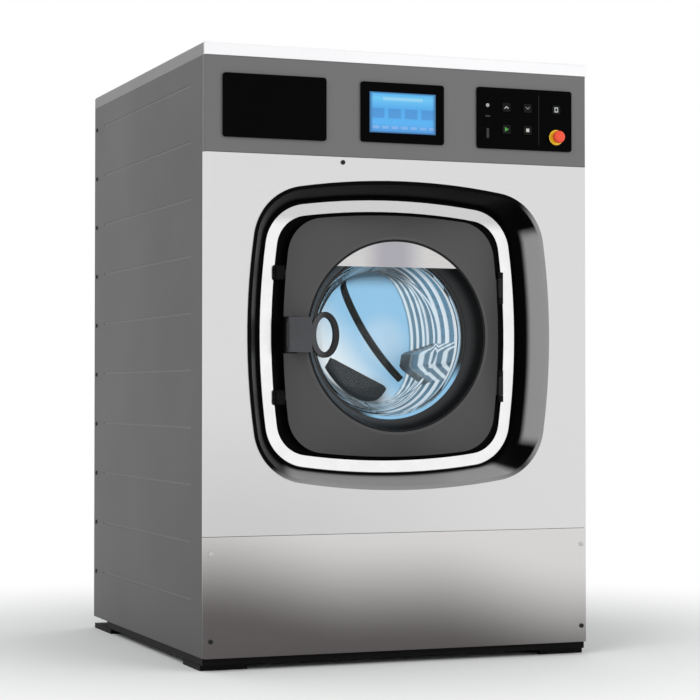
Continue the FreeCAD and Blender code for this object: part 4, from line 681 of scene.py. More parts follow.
# A profile of (radius, y) points turned about a line along Y through the centre (x, z)
def spun(name, profile, centre, steps, closed=True, sweep=360.0, start=0.0):
    bpy.ops.object.select_all(action="DESELECT")
    bpy.ops.mesh.primitive_plane_add(size=0.01)
    piece = bpy.context.object
    piece.name = name
    bpy.context.tool_settings.mesh_select_mode = (True, False, False)
    bpy.ops.object.mode_set(mode="EDIT")
    bpy.ops.mesh.select_all(action="SELECT")
    bpy.ops.mesh.merge(type="CENTER")
    across, up = math.cos(math.radians(start)), math.sin(math.radians(start))
    points = [Vector((centre[0] + radius * across, y, centre[1] + radius * up)) for radius, y in profile]
    bpy.ops.transform.translate(value=points[0])
    if closed:
        points.append(points[0])
    for before, after in zip(points, points[1:]):
        bpy.ops.mesh.extrude_region_move(TRANSFORM_OT_translate={"value": after - before})
    bpy.ops.mesh.select_all(action="SELECT")
    bpy.ops.mesh.remove_doubles(threshold=1e-6)
    bpy.ops.mesh.select_all(action="SELECT")
    middle = (centre[0], 0.0, centre[1])
    bpy.ops.mesh.spin(steps=steps, angle=math.radians(sweep), center=middle, axis=(0.0, 1.0, 0.0))
    done()
    return piece


def copied(piece, matrix):
    twin = piece.copy()
    twin.data = piece.data.copy()
    bpy.context.scene.collection.objects.link(twin)
    twin.matrix_world = matrix
    return settled(twin)


def joined(name, pieces):
    onlyActive(pieces[0])
    for piece in pieces[1:]:
        piece.select_set(True)
    if len(pieces) > 1:
        bpy.ops.object.join()
    pieces[0].name = name
    return pieces[0]


def discard(piece):
    onlyActive(piece)
    bpy.ops.object.delete()


def applied(piece, kind, **settings):
    onlyActive(piece)
    bpy.ops.object.modifier_add(type=kind)
    modifier = piece.modifiers[-1]
    for key, value in settings.items():
        setattr(modifier, key, value)
    bpy.ops.object.modifier_apply(modifier=modifier.name)


def rounded(piece, width, segments, angle=30.0):
    limits = {"limit_method": "ANGLE", "angle_limit": math.radians(angle)}
    applied(piece, "BEVEL", width=width, segments=segments, **limits)
    onlyActive(piece)
    smoothed(40.0)
    applied(piece, "WEIGHTED_NORMAL", keep_sharp=True, weight=100)
    return piece


# Hands a finished piece over: its finish (the slot's unless one is given), the body it rides, and hides the
# node it stands for
def handOver(piece, body, slotName, stands=None, finish=None):
    piece.data.materials.clear()
    piece.data.materials.append((finish or finishes[slotName]).material)
    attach(piece, body)
    if stands:
        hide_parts(stands)
    return piece


# A CAD piece with its sharp edges broken: a merged copy, flattened to its faces and bevelled
def softened(nodeName, body, width):
    source = nodes[nodeName]
    piece = source.copy()
    piece.data = source.data.copy()
    bpy.context.scene.collection.objects.link(piece)
    piece.parent = None
    piece.matrix_world = Matrix.Identity(4)
    for key in list(piece.keys()):
        del piece[key]
    piece.name = "soft" + "".join(word.capitalize() for word in nodeName.split("_"))
    editing(piece, "VERT", lambda vertex: True)
    bpy.ops.mesh.remove_doubles(threshold=1e-6)
    bpy.ops.mesh.dissolve_limited(angle_limit=math.radians(1.0))
    objectMode()
    rounded(piece, width, 2)
    return handOver(piece, body, slotNames[nodeName], nodeName, nodeFinishes.get(nodeName))


softEdges = {
    # node: (body, edge width in metres)
    "handle_lever": ("handle", 0.0028), "drawer_front": ("drawer", 0.0011),
    "screen_bezel": ("cabinet", 0.0011), "key_panel": ("cabinet", 0.0009),
    "hinge_brackets": ("cabinet", 0.0012), "handle_bracket": ("door", 0.001),
    "lock_housing": ("cabinet", 0.0025), "inlet_valves": ("cabinet", 0.002),
    "inverter_box": ("cabinet", 0.002), "foot_plates": ("cabinet", 0.0015), "catch_tongue": ("door", 0.0012),
}
softPieces = {}
for nodeName, (body, width) in softEdges.items():
    softPieces[nodeName] = softened(nodeName, body, width)
print("edges softened")


screw = {
    "radius": 0.005, "height": 0.002, "crown": 0.0007,
    "insets": ((0.0011, 0.6), (0.0016, 0.4)),  # width of each step of the crown and its share of the rise
    "slotLength": 0.0058, "slotWidth": 0.0013, "slotDepth": 0.0011,
    "sideX": 0.45, "sideY": 0.444, "sideZ": [0.142 + 0.1224 * number for number in range(10)],
    "rearX": 0.226, "rearY": 0.4665, "rearZ": [0.189 + 0.742 / 3 * number for number in range(4)],
    "frontY": -0.465, "frontX": 0.435, "lowZ": 0.064, "highZ": 0.247, "fascia": (-0.138, 1.083),
    "clampRadius": 0.1885, "clampCount": 12,
}


# Pan-head screw with a cross recess, head towards +Z
def modelScrew():
    head = cylinder("screwHead", screw["radius"], screw["height"], 28)
    editing(head, "FACE", lambda face: face.normal.z > 0.9)
    for width, share in screw["insets"]:
        bpy.ops.mesh.inset(thickness=width, depth=screw["crown"] * share)
    done()
    cutter = block("crossCutter", (screw["slotWidth"], screw["slotWidth"], 2 * screw["slotDepth"]))
    reach = (screw["slotLength"] - screw["slotWidth"]) / 2
    for axis in (0, 1):
        for sign in (-1, 1):
            def onArm(face):
                return face.normal[axis] * sign > 0.9 and abs(face.center[1 - axis]) < 1e-5

            editing(cutter, "FACE", onArm)
            move = Vector((0.0, 0.0, 0.0))
            move[axis] = sign * reach
            bpy.ops.mesh.extrude_region_move(TRANSFORM_OT_translate={"value": move})
            objectMode()
    cutter.location.z = screw["height"] / 2 + screw["crown"]
    settled(cutter)
    applied(head, "BOOLEAN", object=cutter, operation="DIFFERENCE", solver="EXACT")
    discard(cutter)
    head.location.z = screw["height"] / 2
    return settled(head)


def facing(direction, place):
    return Matrix.Translation(place) @ Vector(direction).to_track_quat("Z", "Y").to_matrix().to_4x4()


def addScrews():
    master = modelScrew()
    places = []
    for z in screw["sideZ"]:
        places.append(((1, 0, 0), (screw["sideX"], screw["sideY"], z)))
        places.append(((-1, 0, 0), (-screw["sideX"], screw["sideY"], z)))
    for sign in (-1, 1):
        places += [((0, 1, 0), (sign * screw["rearX"], screw["rearY"], z)) for z in screw["rearZ"]]
        places.append(((0, -1, 0), (sign * screw["frontX"], screw["frontY"], screw["lowZ"])))
    x, z = screw["fascia"]
    places.append(((0, -1, 0), (x, screw["frontY"], z)))
    copies = [copied(master, facing(*place)) for place in places]
    handOver(joined("panelScrews", copies), "cabinet", "zinc", "panel_screws", nodeFinishes["panel_screws"])
    tops = [((0, -1, 0), (sign * screw["frontX"], screw["frontY"], screw["highZ"])) for sign in (-1, 1)]
    copies = [copied(master, facing(*place)) for place in tops]
    bright = platedSteel("bright screw", (0.6, 0.59, 0.58), 0.3)
    handOver(joined("seamScrews", copies), "cabinet", "zinc", finish=bright)
    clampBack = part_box("glass_clamp_ring")[1].y
    copies = []
    for number in range(screw["clampCount"]):
        turn = math.tau * (number + 0.5) / screw["clampCount"]
        x, z = screw["clampRadius"] * math.cos(turn), screw["clampRadius"] * math.sin(turn)
        copies.append(copied(master, facing((0, 1, 0), (x, clampBack, doorZ + z))))
    handOver(joined("clampScrews", copies), "door", "zinc")
    discard(master)


addScrews()
print("screws modelled")

stopHead = {
    "centre": (0.371, 1.158), "stem": 0.0073,
    "profile": [(0.0, -0.494), (0.004, -0.4939), (0.0075, -0.4934), (0.0105, -0.4922), (0.0127, -0.4902),
                (0.0138, -0.4876), (0.014, -0.4848), (0.0135, -0.4825), (0.0122, -0.4812), (0.009, -0.481),
                (0.0073, -0.481)],
}


def addStopHead():
    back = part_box("estop_button")[1].y
    profile = stopHead["profile"] + [(stopHead["stem"], back), (0.0, back)]
    head = spun("stopHead", profile, stopHead["centre"], 48, closed=False)
    handOver(head, "emergency_stop", "stop_red", "estop_button")


gasket = {
    "outer": 0.2085, "inner": 0.1932, "skirt": 0.0031, "backGap": 0.0003, "hem": 0.001,
    "folds": 3, "foldDepth": 0.006, "foldStart": 0.002, "foldEnd": 0.004, "lip": 0.0195,
    # out from the inner radius, behind the lip
    "lipProfile": [(0.0008, 0.002), (0.003, 0.0006), (0.007, 0.0)],
}


# Door gasket: skirt, rounded lip and bellows folds on its inner side
def addGasket():
    low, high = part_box("door_gasket")
    front, back = low.y, high.y - gasket["backGap"]
    lip = front + gasket["lip"]
    outer, inner, skirt = gasket["outer"], gasket["inner"], gasket["outer"] - gasket["skirt"]
    profile = [(outer, front), (outer, back), (inner + gasket["hem"], back)]
    first, last = back - gasket["foldStart"], lip + gasket["foldEnd"]
    steps = gasket["folds"] * 8
    for step in range(steps + 1):
        wave = 0.5 - 0.5 * math.cos(math.tau * gasket["folds"] * step / steps)
        profile.append((inner + gasket["foldDepth"] * wave, first - (first - last) * step / steps))
    profile += [(inner + out, lip + behind) for out, behind in gasket["lipProfile"]]
    profile += [(skirt, lip), (skirt, front)]
    handOver(spun("gasketBellows", profile, (0.0, doorZ), 96), "cabinet", "gasket_grey", "door_gasket")


addStopHead()
addGasket()
print("stop head and gasket modelled")

keyCap = {"corner": 0.003, "edge": 0.0007, "border": 0.0012, "slope": 0.0005, "dish": 0.0005}


# Key cap: rounded block with a shallow dish in its face
def addKey(name):
    low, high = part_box("key_" + name)
    centre, size = (low + high) / 2, high - low
    cap = block("keyCap" + name.capitalize(), size, centre)

    def alongY(edge):
        first, second = (cap.data.vertices[index].co for index in edge.vertices)
        return abs(first.y - second.y) > 1e-4

    editing(cap, "EDGE", alongY)
    bpy.ops.mesh.bevel(offset=keyCap["corner"], segments=4, affect="EDGES")
    objectMode()
    rounded(cap, keyCap["edge"], 2)
    editing(cap, "FACE", lambda face: face.normal.y < -0.99 and face.center.y < low.y + 1e-4)
    bpy.ops.mesh.inset(thickness=keyCap["border"], depth=0.0)
    bpy.ops.mesh.inset(thickness=keyCap["slope"], depth=-keyCap["dish"])
    done(30.0)
    handOver(cap, name + "_key", "key_grey", "key_" + name, nodeFinishes.get("key_" + name))


for name in ("start", "stop", "up", "down", "door"):
    addKey(name)
print("keys modelled")

basket = {
    "radius": 0.338, "wall": 0.002, "columns": 78, "rows": 17, "holeRadius": 0.0042, "endGap": 0.002,
    "bandWidth": 0.034, "bandRise": 0.0045, "bandSeat": 0.0005,
    "hem": 0.03, "hemStart": 0.001, "hemSeat": 0.0008, "mouth": 0.205, "steps": 156,
    # rolled lip: out from the mouth, behind the front
    "roll": [(0.004, 0.0), (0.0012, 0.0012), (0.0, 0.004), (0.0, 0.014), (0.002, 0.014), (0.002, 0.0045),
             (0.0045, 0.002)],
}


# One tile of the drum's wall: a square of sheet with a round hole in it, facing the drum's axis
def wallTile(width, pitch):
    bpy.ops.object.select_all(action="DESELECT")
    bpy.ops.mesh.primitive_plane_add(size=1.0)
    tile = bpy.context.object
    tile.scale = (width, pitch, 1.0)
    settled(tile)
    editing(tile, "FACE", lambda face: True)
    bpy.ops.mesh.subdivide(number_cuts=1)
    objectMode()
    editing(tile, "VERT", lambda vertex: vertex.co.length < 1e-5)
    bpy.ops.mesh.delete(type="VERT")
    bpy.ops.mesh.primitive_circle_add(vertices=8, radius=basket["holeRadius"])
    bpy.ops.mesh.select_all(action="SELECT")
    bpy.ops.mesh.bridge_edge_loops()
    objectMode()
    return tile


# Drum: a punched wall of staggered tiles, pressed bands, hems at both ends and a front with a rolled lip
def addDrumBasket():
    low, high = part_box("drum_shell")
    front, back, radius = low.y, high.y, basket["radius"]
    turn = math.tau / basket["columns"]
    width = 2 * radius * math.tan(turn / 2)
    pitch = (back - front - 2 * basket["endGap"]) / (basket["rows"] + 0.5)
    tile = wallTile(width, pitch)
    offset = {"use_relative_offset": True, "relative_offset_displace": (0.0, 1.0, 0.0)}
    applied(tile, "ARRAY", count=basket["rows"], **offset)
    columns = []
    for number in (0, 1):
        place = Matrix.Translation((0.0, front + basket["endGap"] + pitch * (0.5 + 0.5 * number), doorZ))
        lean = Matrix.Rotation(turn * number, 4, "Y")
        columns.append(copied(tile, place @ lean @ Matrix.Translation((0.0, 0.0, -radius))))
    discard(tile)
    sheet = joined("drumSheet", columns)
    editing(sheet, "VERT", lambda vertex: True)
    bpy.ops.mesh.spin(steps=basket["columns"] // 2 - 1, dupli=True, angle=turn * (basket["columns"] - 2),
                      center=(0.0, 0.0, doorZ), axis=(0.0, 1.0, 0.0))
    bpy.ops.mesh.select_all(action="SELECT")
    bpy.ops.mesh.remove_doubles(threshold=1e-4)
    bpy.ops.mesh.normals_make_consistent(inside=True)
    objectMode()
    applied(sheet, "SOLIDIFY", thickness=basket["wall"], offset=-1.0)
    onlyActive(sheet)
    smoothed(35.0)
    parts = [sheet]
    wall, hem = basket["wall"], basket["hem"]
    inside, outside = radius - basket["hemSeat"], radius + wall
    for start, end in ((front + basket["hemStart"], front + hem), (back - hem, back)):
        profile = [(inside, start), (inside, end), (outside, end), (outside, start)]
        parts.append(spun("drumHem", profile, (0.0, doorZ), basket["steps"]))
    half, seat = basket["bandWidth"] / 2, basket["bandSeat"]
    for number in range(drumLook["bands"]):
        middle = front + (number + 1) * (back - front) / (drumLook["bands"] + 1)
        profile = []
        for step in range(9):
            place = -1 + step / 4
            rise = basket["bandRise"] * (0.5 + 0.5 * math.cos(math.pi * place))
            profile.append((radius - seat - rise, middle + half * place))
        profile += [(radius + seat, middle + half), (radius + seat, middle - half)]
        parts.append(spun("drumBand", profile, (0.0, doorZ), basket["steps"]))
    roll = [(basket["mouth"] + out, front + behind) for out, behind in basket["roll"]]
    profile = [(outside, front)] + roll + [(outside, front + wall)]
    parts.append(spun("drumFront", profile, (0.0, doorZ), basket["steps"]))
    handOver(joined("drumBasket", parts), "drum", "drum_steel", "drum_shell", nodeFinishes["drum_shell"])


# A piece of the drum's back set three times round the axis
def threefold(name, piece):
    axis = Matrix.Translation((0.0, 0.0, doorZ))
    turns = [Matrix.Rotation(math.radians(angle), 4, "Y") for angle in (0.0, 120.0, 240.0)]
    copies = [copied(piece, axis @ turn @ axis.inverted()) for turn in turns]
    discard(piece)
    return joined(name, copies)


# Half round of a pressed rib or bead, standing out from the drum's back
def halfRound(radius, half, back, rise):
    turns = [math.pi * step / 8 for step in range(9)]
    return [(radius + half * math.cos(turn), back - rise * math.sin(turn)) for turn in turns]


def closedEnds(piece):
    editing(piece, "EDGE", lambda edge: True)
    bpy.ops.mesh.fill_holes(sides=0)
    done()


backPad = {
    "inner": 0.083, "outer": 0.252, "start": -54.0, "sweep": 28.0,
    "rise": 0.005, "sink": 0.0004, "corner": 0.02, "edge": 0.0028,
}


# Dark pads of thicker sheet on the drum's back, three round the axis, put as painted shade where the drum's
# back lies in shade
def addBackPads():
    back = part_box("drum_spider")[0].y
    inner, outer, top = backPad["inner"], backPad["outer"], back - backPad["rise"]
    profile = [(inner, back + backPad["sink"]), (inner, top), (outer, top), (outer, back + backPad["sink"])]
    pad = spun("backPads", profile, (0.0, doorZ), 16, True, backPad["sweep"], backPad["start"])
    closedEnds(pad)
    ends = [math.radians(backPad["start"]), math.radians(backPad["start"] + backPad["sweep"])]

    def atCorner(edge):
        first, second = (pad.data.vertices[index].co for index in edge.vertices)
        turn = math.atan2(first.z - doorZ, first.x)
        return abs(first.y - second.y) > 0.001 and min(abs(turn - end) for end in ends) < 0.001

    editing(pad, "EDGE", atCorner)
    bpy.ops.mesh.bevel(offset=backPad["corner"], segments=6, affect="EDGES")
    done()
    rounded(pad, backPad["edge"], 3)
    # painted shade: the pads' dark steel stands for the shade on the drum's back
    dull = groundStainless("pad steel", (0.055, 0.058, 0.06), 0.45)
    handOver(threefold("backPads", pad), "drum", "drum_steel", finish=dull)


drumRib = {
    "centre": (0.708, 1.088), "radius": 0.646, "start": 197.5, "sweep": 29.0,
    "width": 0.019, "height": 0.009,
}


# Curved stiffening ribs on the drum's back, three round the axis
def addDrumRibs():
    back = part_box("drum_spider")[0].y
    profile = halfRound(drumRib["radius"], drumRib["width"] / 2, back, drumRib["height"])
    rib = spun("drumRibs", profile, drumRib["centre"], 28, True, drumRib["sweep"], drumRib["start"])
    closedEnds(rib)
    dull = groundStainless("rib steel", (0.024, 0.024, 0.022), 0.5)
    handOver(threefold("drumRibs", rib), "drum", "drum_steel", finish=dull)


hood = {
    "width": 0.27, "height": 0.014, "depth": 0.009, "lean": 0.9, "wall": 0.0012, "edge": 0.0008,
    "sink": 0.0004, "above": 0.074, "pitch": 0.026, "count": 8,
}


# Louvre hoods over the rear slots: an open wedge of sheet, modelled once
def addLouvres():
    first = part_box("rear_access_cover")[1].z + hood["above"]
    master = block("louvreHood", (hood["width"], hood["depth"], hood["height"]))
    editing(master, "VERT", lambda vertex: vertex.co.y > 0 and vertex.co.z > 0)
    bpy.ops.transform.translate(value=(0.0, -hood["depth"] * hood["lean"], 0.0))
    objectMode()
    editing(master, "FACE", lambda face: face.normal.z < -0.9 or face.normal.y < -0.9)
    bpy.ops.mesh.delete(type="FACE")
    objectMode()
    applied(master, "SOLIDIFY", thickness=hood["wall"], offset=1.0)
    rounded(master, hood["edge"], 2)
    copies = []
    for number in range(hood["count"]):
        place = (0.0, rearY + hood["depth"] / 2 - hood["sink"], first + hood["pitch"] * number)
        copies.append(copied(master, Matrix.Translation(place)))
    discard(master)
    handOver(joined("louvreHoods", copies), "cabinet", "panel_grey")


gland = {
    "hexRadius": 0.0159, "hexHeight": 0.009, "hexFace": 0.0052, "hexEdge": 0.0007,
    # radii, with the distances from the front and from the back
    "neck": [(0.009, 0.0), (0.0098, 0.0), (0.0112, 0.002), (0.0112, 0.0085), (0.0138, 0.0092)],
    "crown": [(0.0138, 0.009), (0.0133, 0.0055), (0.0122, 0.0022), (0.0108, 0.0004), (0.0098, 0.0),
              (0.009, 0.0006)],
}


# Cable gland: hexagon body and a domed, bored nut
def addGland():
    low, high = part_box("cable_gland")
    centre = (low + high) / 2
    nut = cylinder("glandNut", gland["hexRadius"], gland["hexHeight"], 6)
    editing(nut, "FACE", lambda face: abs(face.normal.z) > 0.9)
    bpy.ops.mesh.inset(thickness=gland["hexFace"], use_individual=True)
    bpy.ops.mesh.bridge_edge_loops()
    done()
    rounded(nut, gland["hexEdge"], 2, 25.0)
    nut.matrix_world = facing((0, 1, 0), (centre.x, low.y + gland["hexHeight"] / 2, centre.z))
    settled(nut)
    profile = [(radius, low.y + y) for radius, y in gland["neck"]]
    profile += [(radius, high.y - y) for radius, y in gland["crown"]]
    dome = spun("glandDome", profile, (centre.x, centre.z), 40)
    handOver(joined("cableGland", [nut, dome]), "cabinet", "plastic_black", "cable_gland")


thread = {
    "inlets": (-0.34, -0.24), "z": 1.2, "start": 0.007,
    "radius": 0.0131, "crest": 0.0139, "pitch": 0.0024, "turns": 6,
}
barb = {
    "centre": (-0.29, 0.165), "pitch": 0.012, "count": 3,
    "profile": [(0.0384, -0.007), (0.0396, -0.001), (0.0398, 0.0), (0.0394, 0.0008), (0.0384, 0.001)],
}


# Thread crests on the two inlets, and barbs on the drain spigot
def addThreads():
    radius, crest, pitch = thread["radius"], thread["crest"], thread["pitch"]
    profile = [(radius, rearY + thread["start"])]
    for number in range(thread["turns"]):
        y = rearY + thread["start"] + pitch * number
        profile += [(crest, y + pitch * 0.4), (crest, y + pitch * 0.6), (radius, y + pitch)]
    rings = [spun("inletThread", profile, (x, thread["z"]), 40) for x in thread["inlets"]]
    handOver(joined("inletThreads", rings), "cabinet", "plastic_black")
    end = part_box("drain_pipe")[1].y
    barbs = []
    for number in range(barb["count"]):
        crestY = end - barb["pitch"] * (number + 1)
        profile = [(radius, crestY + y) for radius, y in barb["profile"]]
        barbs.append(spun("drainBarb", profile, barb["centre"], 56))
    handOver(joined("drainBarbs", barbs), "cabinet", "plastic_black")


inletBore = {"radius": 0.0096, "depth": 0.018}


# Bores of the two inlets, cut into the softened valves
def addInletBores():
    valves = softPieces["inlet_valves"]
    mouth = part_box("inlet_valves")[1].y
    for x in thread["inlets"]:
        cutter = cylinder("boreCutter", inletBore["radius"], 2 * inletBore["depth"], 40)
        cutter.matrix_world = facing((0, 1, 0), (x, mouth, thread["z"]))
        settled(cutter)
        applied(valves, "BOOLEAN", object=cutter, operation="DIFFERENCE", solver="EXACT")
        discard(cutter)
    onlyActive(valves)
    smoothed(40.0)


fin = {
    "length": 0.19, "height": 0.009, "root": 0.0034, "tip": 0.0018, "tipLength": 0.97,
    "edge": 0.0006, "sink": 0.002, "radius": 0.094, "start": 0.105, "axisZ": 0.182,
    # degrees round the can: from fin to fin, the foot, half the terminal box
    "step": 10, "foot": (235, 305), "boxReach": 35,
}


# Cooling fins round the motor's can, clear of its foot and terminal box
def addMotorFins():
    master = block("motorFin", (fin["height"] + fin["sink"], fin["length"], fin["root"]))
    editing(master, "FACE", lambda face: face.normal.x > 0.9)
    bpy.ops.transform.resize(value=(1.0, fin["tipLength"], fin["tip"] / fin["root"]))
    objectMode()
    rounded(master, fin["edge"], 2)
    copies = []
    for angle in range(0, 360, fin["step"]):
        atFoot = fin["foot"][0] < angle < fin["foot"][1]
        if atFoot or angle < fin["boxReach"] or angle > 360 - fin["boxReach"]:
            continue
        turn = Matrix.Rotation(-math.radians(angle), 4, "Y")
        lift = Matrix.Translation((fin["radius"] + fin["height"] / 2, 0.0, 0.0))
        middle = Matrix.Translation((0.0, fin["start"] + fin["length"] / 2, fin["axisZ"]))
        copies.append(copied(master, middle @ turn @ lift))
    discard(master)
    handOver(joined("motorFins", copies), "cabinet", "motor_paint")


bezel = {
    "profile": [(0.1775, 0.0), (0.1765, -0.004), (0.1782, -0.009), (0.182, -0.011), (0.186, -0.0095),
                (0.1885, -0.005), (0.189, 0.0)],
    "glow": 0.8, "arcMiddle": -1.15, "arc": (0.85, 0.55), "arcRadius": 0.18, "arcEdge": (0.0046, 0.0026),
}


# Black moulding with a blue painted glow along its lower right, standing for the drum's light caught on it
def litRing(name):
    finish = mouldedPlastic(name, (0.012, 0.012, 0.0125), 0.2, 0.02, 0.4)
    finish.feed(Emission_Strength=bezel["glow"])
    # painted glow: a thin arc at the lower right
    angle = finish.maths("ARCTAN2", finish.z - doorZ, finish.x)
    arc = finish.smooth(abs(angle - bezel["arcMiddle"]), *bezel["arc"])
    edge = finish.smooth(abs(axisRadius(finish) - bezel["arcRadius"]), *bezel["arcEdge"])
    return finish.feed(Emission_Color=finish.blend(arc * edge, (0.0, 0.0, 0.0), drumLook["lit"]))


# Moulded ring round the glass, at the bottom of the funnel
def addGlassRing():
    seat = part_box("door_glass")[0].y
    profile = [(radius, seat + y) for radius, y in bezel["profile"]]
    ring = spun("glassRing", profile, (0.0, doorZ), 96)
    handOver(ring, "door", "door_black", finish=litRing("glass ring"))


bowl = {
    "seat": 0.1977, "exit": 0.177, "side": 0.155, "wall": 0.006, "depth": 0.07, "dome": 0.05, "steps": 14,
    "neck": [(-0.003, 0.01), (0.0, 0.002), (0.003, 0.0)],  # out from the exit, behind the flange
}


# Glass bowl of the door: flange, tapered side and a smooth dome, all of one wall thickness
def addGlassBowl():
    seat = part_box("door_glass")[0].y
    wall, start = bowl["wall"], seat + bowl["depth"]

    def dome(inset):
        points = []
        for step in range(bowl["steps"] + 1):
            turn = math.pi / 2 * step / bowl["steps"]
            reach, rise = bowl["side"] - inset, bowl["dome"] - inset
            points.append((reach * math.cos(turn), start + rise * math.sin(turn)))
        return points

    outer = dome(0.0)[::-1]
    outer[0] = (0.0, outer[0][1])
    inner = dome(wall)
    inner[-1] = (0.0, inner[-1][1])
    flange = [(bowl["exit"] + out, seat + wall + behind) for out, behind in bowl["neck"]]
    flange += [(bowl["seat"], seat + wall), (bowl["seat"], seat)]
    flange += [(bowl["exit"] - wall, seat), (bowl["exit"] - wall, seat + wall)]
    glass = spun("glassBowl", outer + flange + inner, (0.0, doorZ), 96, closed=False)
    handOver(glass, "door", "door_glass", "door_glass")


doorStop = {"size": (0.026, 0.012, 0.034), "x": -0.26, "y": -0.4035, "spread": 0.135, "edge": 0.0058}


# Rubber stops over the rim's two buffers, reaching out in front of the bright ring
def addDoorStops():
    stops = []
    for sign in (-1, 1):
        centre = (doorStop["x"], doorStop["y"], doorZ + sign * doorStop["spread"])
        stops.append(rounded(block("doorStop", doorStop["size"], centre), doorStop["edge"], 5))
    black = mouldedPlastic("stop rubber", (0.003, 0.003, 0.0032), 0.6, 0.1, 0.08)
    handOver(joined("doorStops", stops), "door", "rubber_black", finish=black)


hubCap = {
    "profile": [(0.0, -0.011), (0.02, -0.0105), (0.036, -0.0085), (0.047, -0.005),
                (0.053, -0.0012), (0.054, 0.0)],
    "crown": 0.05, "skirt": 0.052, "sink": 0.0006,
}


# Pressed cap over the shaft's end, on the drum's back
def addHubCap():
    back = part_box("drum_spider")[0].y
    front = min(back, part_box("drum_shaft")[0].y)
    profile = [(radius, (front if radius < hubCap["crown"] else back) + y) for radius, y in hubCap["profile"]]
    profile += [(hubCap["skirt"], back + hubCap["sink"]), (0.0, back + hubCap["sink"])]
    cap = spun("hubCap", profile, (0.0, doorZ), 64, closed=False)
    handOver(cap, "drum", "drum_steel", finish=nodeFinishes["drum_spider"])


beads = {"radii": (0.2931, 0.3096, 0.3261), "half": 0.0052, "rise": 0.0036, "sink": 0.0004}


# Pressed rings round the edge of the drum's back
def addBackBeads():
    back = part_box("drum_spider")[0].y
    rings = []
    half, foot = beads["half"], back + beads["sink"]
    for radius in beads["radii"]:
        profile = halfRound(radius, half, back, beads["rise"])
        profile = [(radius + half, foot)] + profile + [(radius - half, foot)]
        rings.append(spun("backBead", profile, (0.0, doorZ), 120))
    handOver(joined("backBeads", rings), "drum", "drum_steel", finish=nodeFinishes["drum_spider"])


marks = {
    "x": 0.203, "lensZ": 1.223, "lensRadius": 0.0042, "lensRise": 0.0016, "lensSink": 0.0004,
    "barZ": (1.199, 1.161), "barSize": ((0.012, 0.0016, 0.0035), (0.006, 0.0016, 0.022)), "barEdge": 0.0006,
    "dividerX": 0.328, "dividerZ": 1.195, "dividerSize": (0.0016, 0.0014, 0.112), "dividerEdge": 0.0004,
    "proud": 0.0003,
}


# Indicator lens, two dim light bars and the divider strip on the key panel
def addPanelMarks():
    radius, rise = marks["lensRadius"], marks["lensRise"]
    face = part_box("key_panel")[0].y
    turns = (0.0, 0.4, 0.8, 1.2, math.pi / 2)
    dome = [(radius * math.sin(turn), face - rise * math.cos(turn)) for turn in turns]
    dome += [(radius, face + marks["lensSink"]), (0.0, face + marks["lensSink"])]
    pale = mouldedPlastic("lens pale", (0.34, 0.34, 0.34), 0.3, 0.02, 0.3)
    dim = mouldedPlastic("lens dim", (0.03, 0.03, 0.03), 0.3, 0.02, 0.2)
    brown = mouldedPlastic("divider brown", (0.012, 0.009, 0.007), 0.4, 0.05, 0.15)
    lens = spun("lampLens", dome, (marks["x"], marks["lensZ"]), 32, closed=False)
    handOver(lens, "cabinet", "plastic_white", finish=pale)
    for z, size in zip(marks["barZ"], marks["barSize"]):
        bar = block("lightBar", size, (marks["x"], face - marks["proud"], z))
        handOver(rounded(bar, marks["barEdge"], 3), "cabinet", "plastic_white", finish=dim)
    place = (marks["dividerX"], face - marks["proud"], marks["dividerZ"])
    strip = block("panelDivider", marks["dividerSize"], place)
    handOver(rounded(strip, marks["dividerEdge"], 2), "cabinet", "panel_gloss", finish=brown)


addGlassRing()
addGlassBowl()
addDoorStops()
print("door glass and stops modelled")
addHubCap()
addPanelMarks()
addDrumBasket()
addBackBeads()
addBackPads()
addDrumRibs()
print("panel marks and drum modelled")
addLouvres()
addGland()
addThreads()
addInletBores()
addMotorFins()
print("louvres, gland, inlets and motor fins modelled")


# Camera at the photograph's viewing angle
view = {
    "place": (-1.7622, -4.7187, 0.5853), "turn": -21.09, "tilt": 1.17,
    "lens": 108.8, "sensor": 36.0, "far": 100.0,
}


def addCamera():
    camera = bpy.data.cameras.new("photoCamera")
    camera.lens = view["lens"]
    camera.sensor_width = view["sensor"]
    camera.clip_end = view["far"]
    holder = bpy.data.objects.new("photoCamera", camera)
    bpy.context.scene.collection.objects.link(holder)
    holder.location = view["place"]
    holder.rotation_euler = (math.radians(90.0 + view["tilt"]), 0.0, math.radians(view["turn"]))
    bpy.context.scene.camera = holder


studio = {
    "floorTone": (0.83, 0.84, 0.84),
    "floorSize": 60.0,
    "floorFade": (0.6, 1.8),
    "skyTone": (1.0, 1.0, 1.0),
    "skyLight": 0.5,
    "lamps": [
        # place, aim, size, watts
        ((-3.2, -2.6, 3.2), (0.0, 0.0, 0.7), 2.6, 70.0),
        ((2.3, -4.0, 1.9), (0.0, -0.2, 0.7), 3.2, 80.0),
        ((0.0, 0.5, 4.2), (0.0, 0.0, 0.9), 3.0, 50.0),
    ],
}


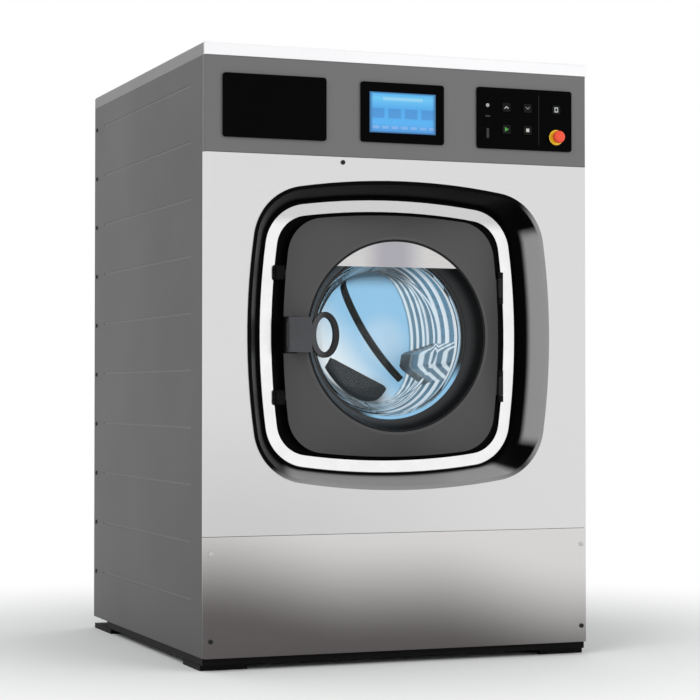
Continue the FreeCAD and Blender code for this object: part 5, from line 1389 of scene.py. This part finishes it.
# Soft box that metal doesn't mirror
def addLamp(number, place, aim, size, watts):
    lamp = bpy.data.lights.new("softbox%d" % number, "AREA")
    lamp.energy = watts
    lamp.size = size
    holder = bpy.data.objects.new("softbox%d" % number, lamp)
    bpy.context.scene.collection.objects.link(holder)
    holder.location = place
    holder.visible_glossy = False
    holder.rotation_euler = (Vector(aim) - Vector(place)).to_track_quat("-Z", "Y").to_euler()


# Pale floor that passes into the white of the backdrop
def addFloor():
    bpy.ops.object.select_all(action="DESELECT")
    bpy.ops.mesh.primitive_plane_add(size=studio["floorSize"])
    floor = bpy.context.object
    floor.name = "studioFloor"
    finish = Finish("floor", Roughness=0.9)
    distance = finish.add("ShaderNodeVectorMath", {"operation": "LENGTH"}, {0: finish.coords}, out="Value")
    fade = finish.smooth(distance, *studio["floorFade"])
    finish.feed(Base_Color=studio["floorTone"])
    glow = finish.add("ShaderNodeEmission", {}, {"Color": studio["skyTone"], "Strength": 1.0})
    surface = Val(finish, finish.shader.outputs[0])
    mixed = finish.add("ShaderNodeMixShader", {}, {0: fade, 1: surface, 2: glow})
    finish.plug(finish.tree.nodes["Material Output"].inputs["Surface"], mixed)
    floor.data.materials.append(finish.material)


# White backdrop for the camera, metal and glass, and a dimmer light from it on the object
def addSky():
    world = bpy.data.worlds.new("studioSky")
    bpy.context.scene.world = world
    world.use_nodes = True
    tree = world.node_tree
    back = tree.nodes["Background"]
    path = tree.nodes.new("ShaderNodeLightPath")
    seen = path.outputs["Is Camera Ray"]
    for ray in ("Is Glossy Ray", "Is Transmission Ray"):
        either = tree.nodes.new("ShaderNodeMath")
        either.operation = "MAXIMUM"
        tree.links.new(seen, either.inputs[0])
        tree.links.new(path.outputs[ray], either.inputs[1])
        seen = either.outputs[0]
    strength = tree.nodes.new("ShaderNodeMapRange")
    strength.inputs["To Min"].default_value = studio["skyLight"]
    strength.inputs["To Max"].default_value = 1.0
    tree.links.new(seen, strength.inputs["Value"])
    tree.links.new(strength.outputs[0], back.inputs["Strength"])
    back.inputs["Color"].default_value = (*studio["skyTone"], 1.0)


addCamera()
addFloor()
addSky()
for number, lampValues in enumerate(studio["lamps"]):
    addLamp(number, *lampValues)
bpy.context.scene.view_settings.view_transform = "Standard"
print("camera, floor and lamps placed")
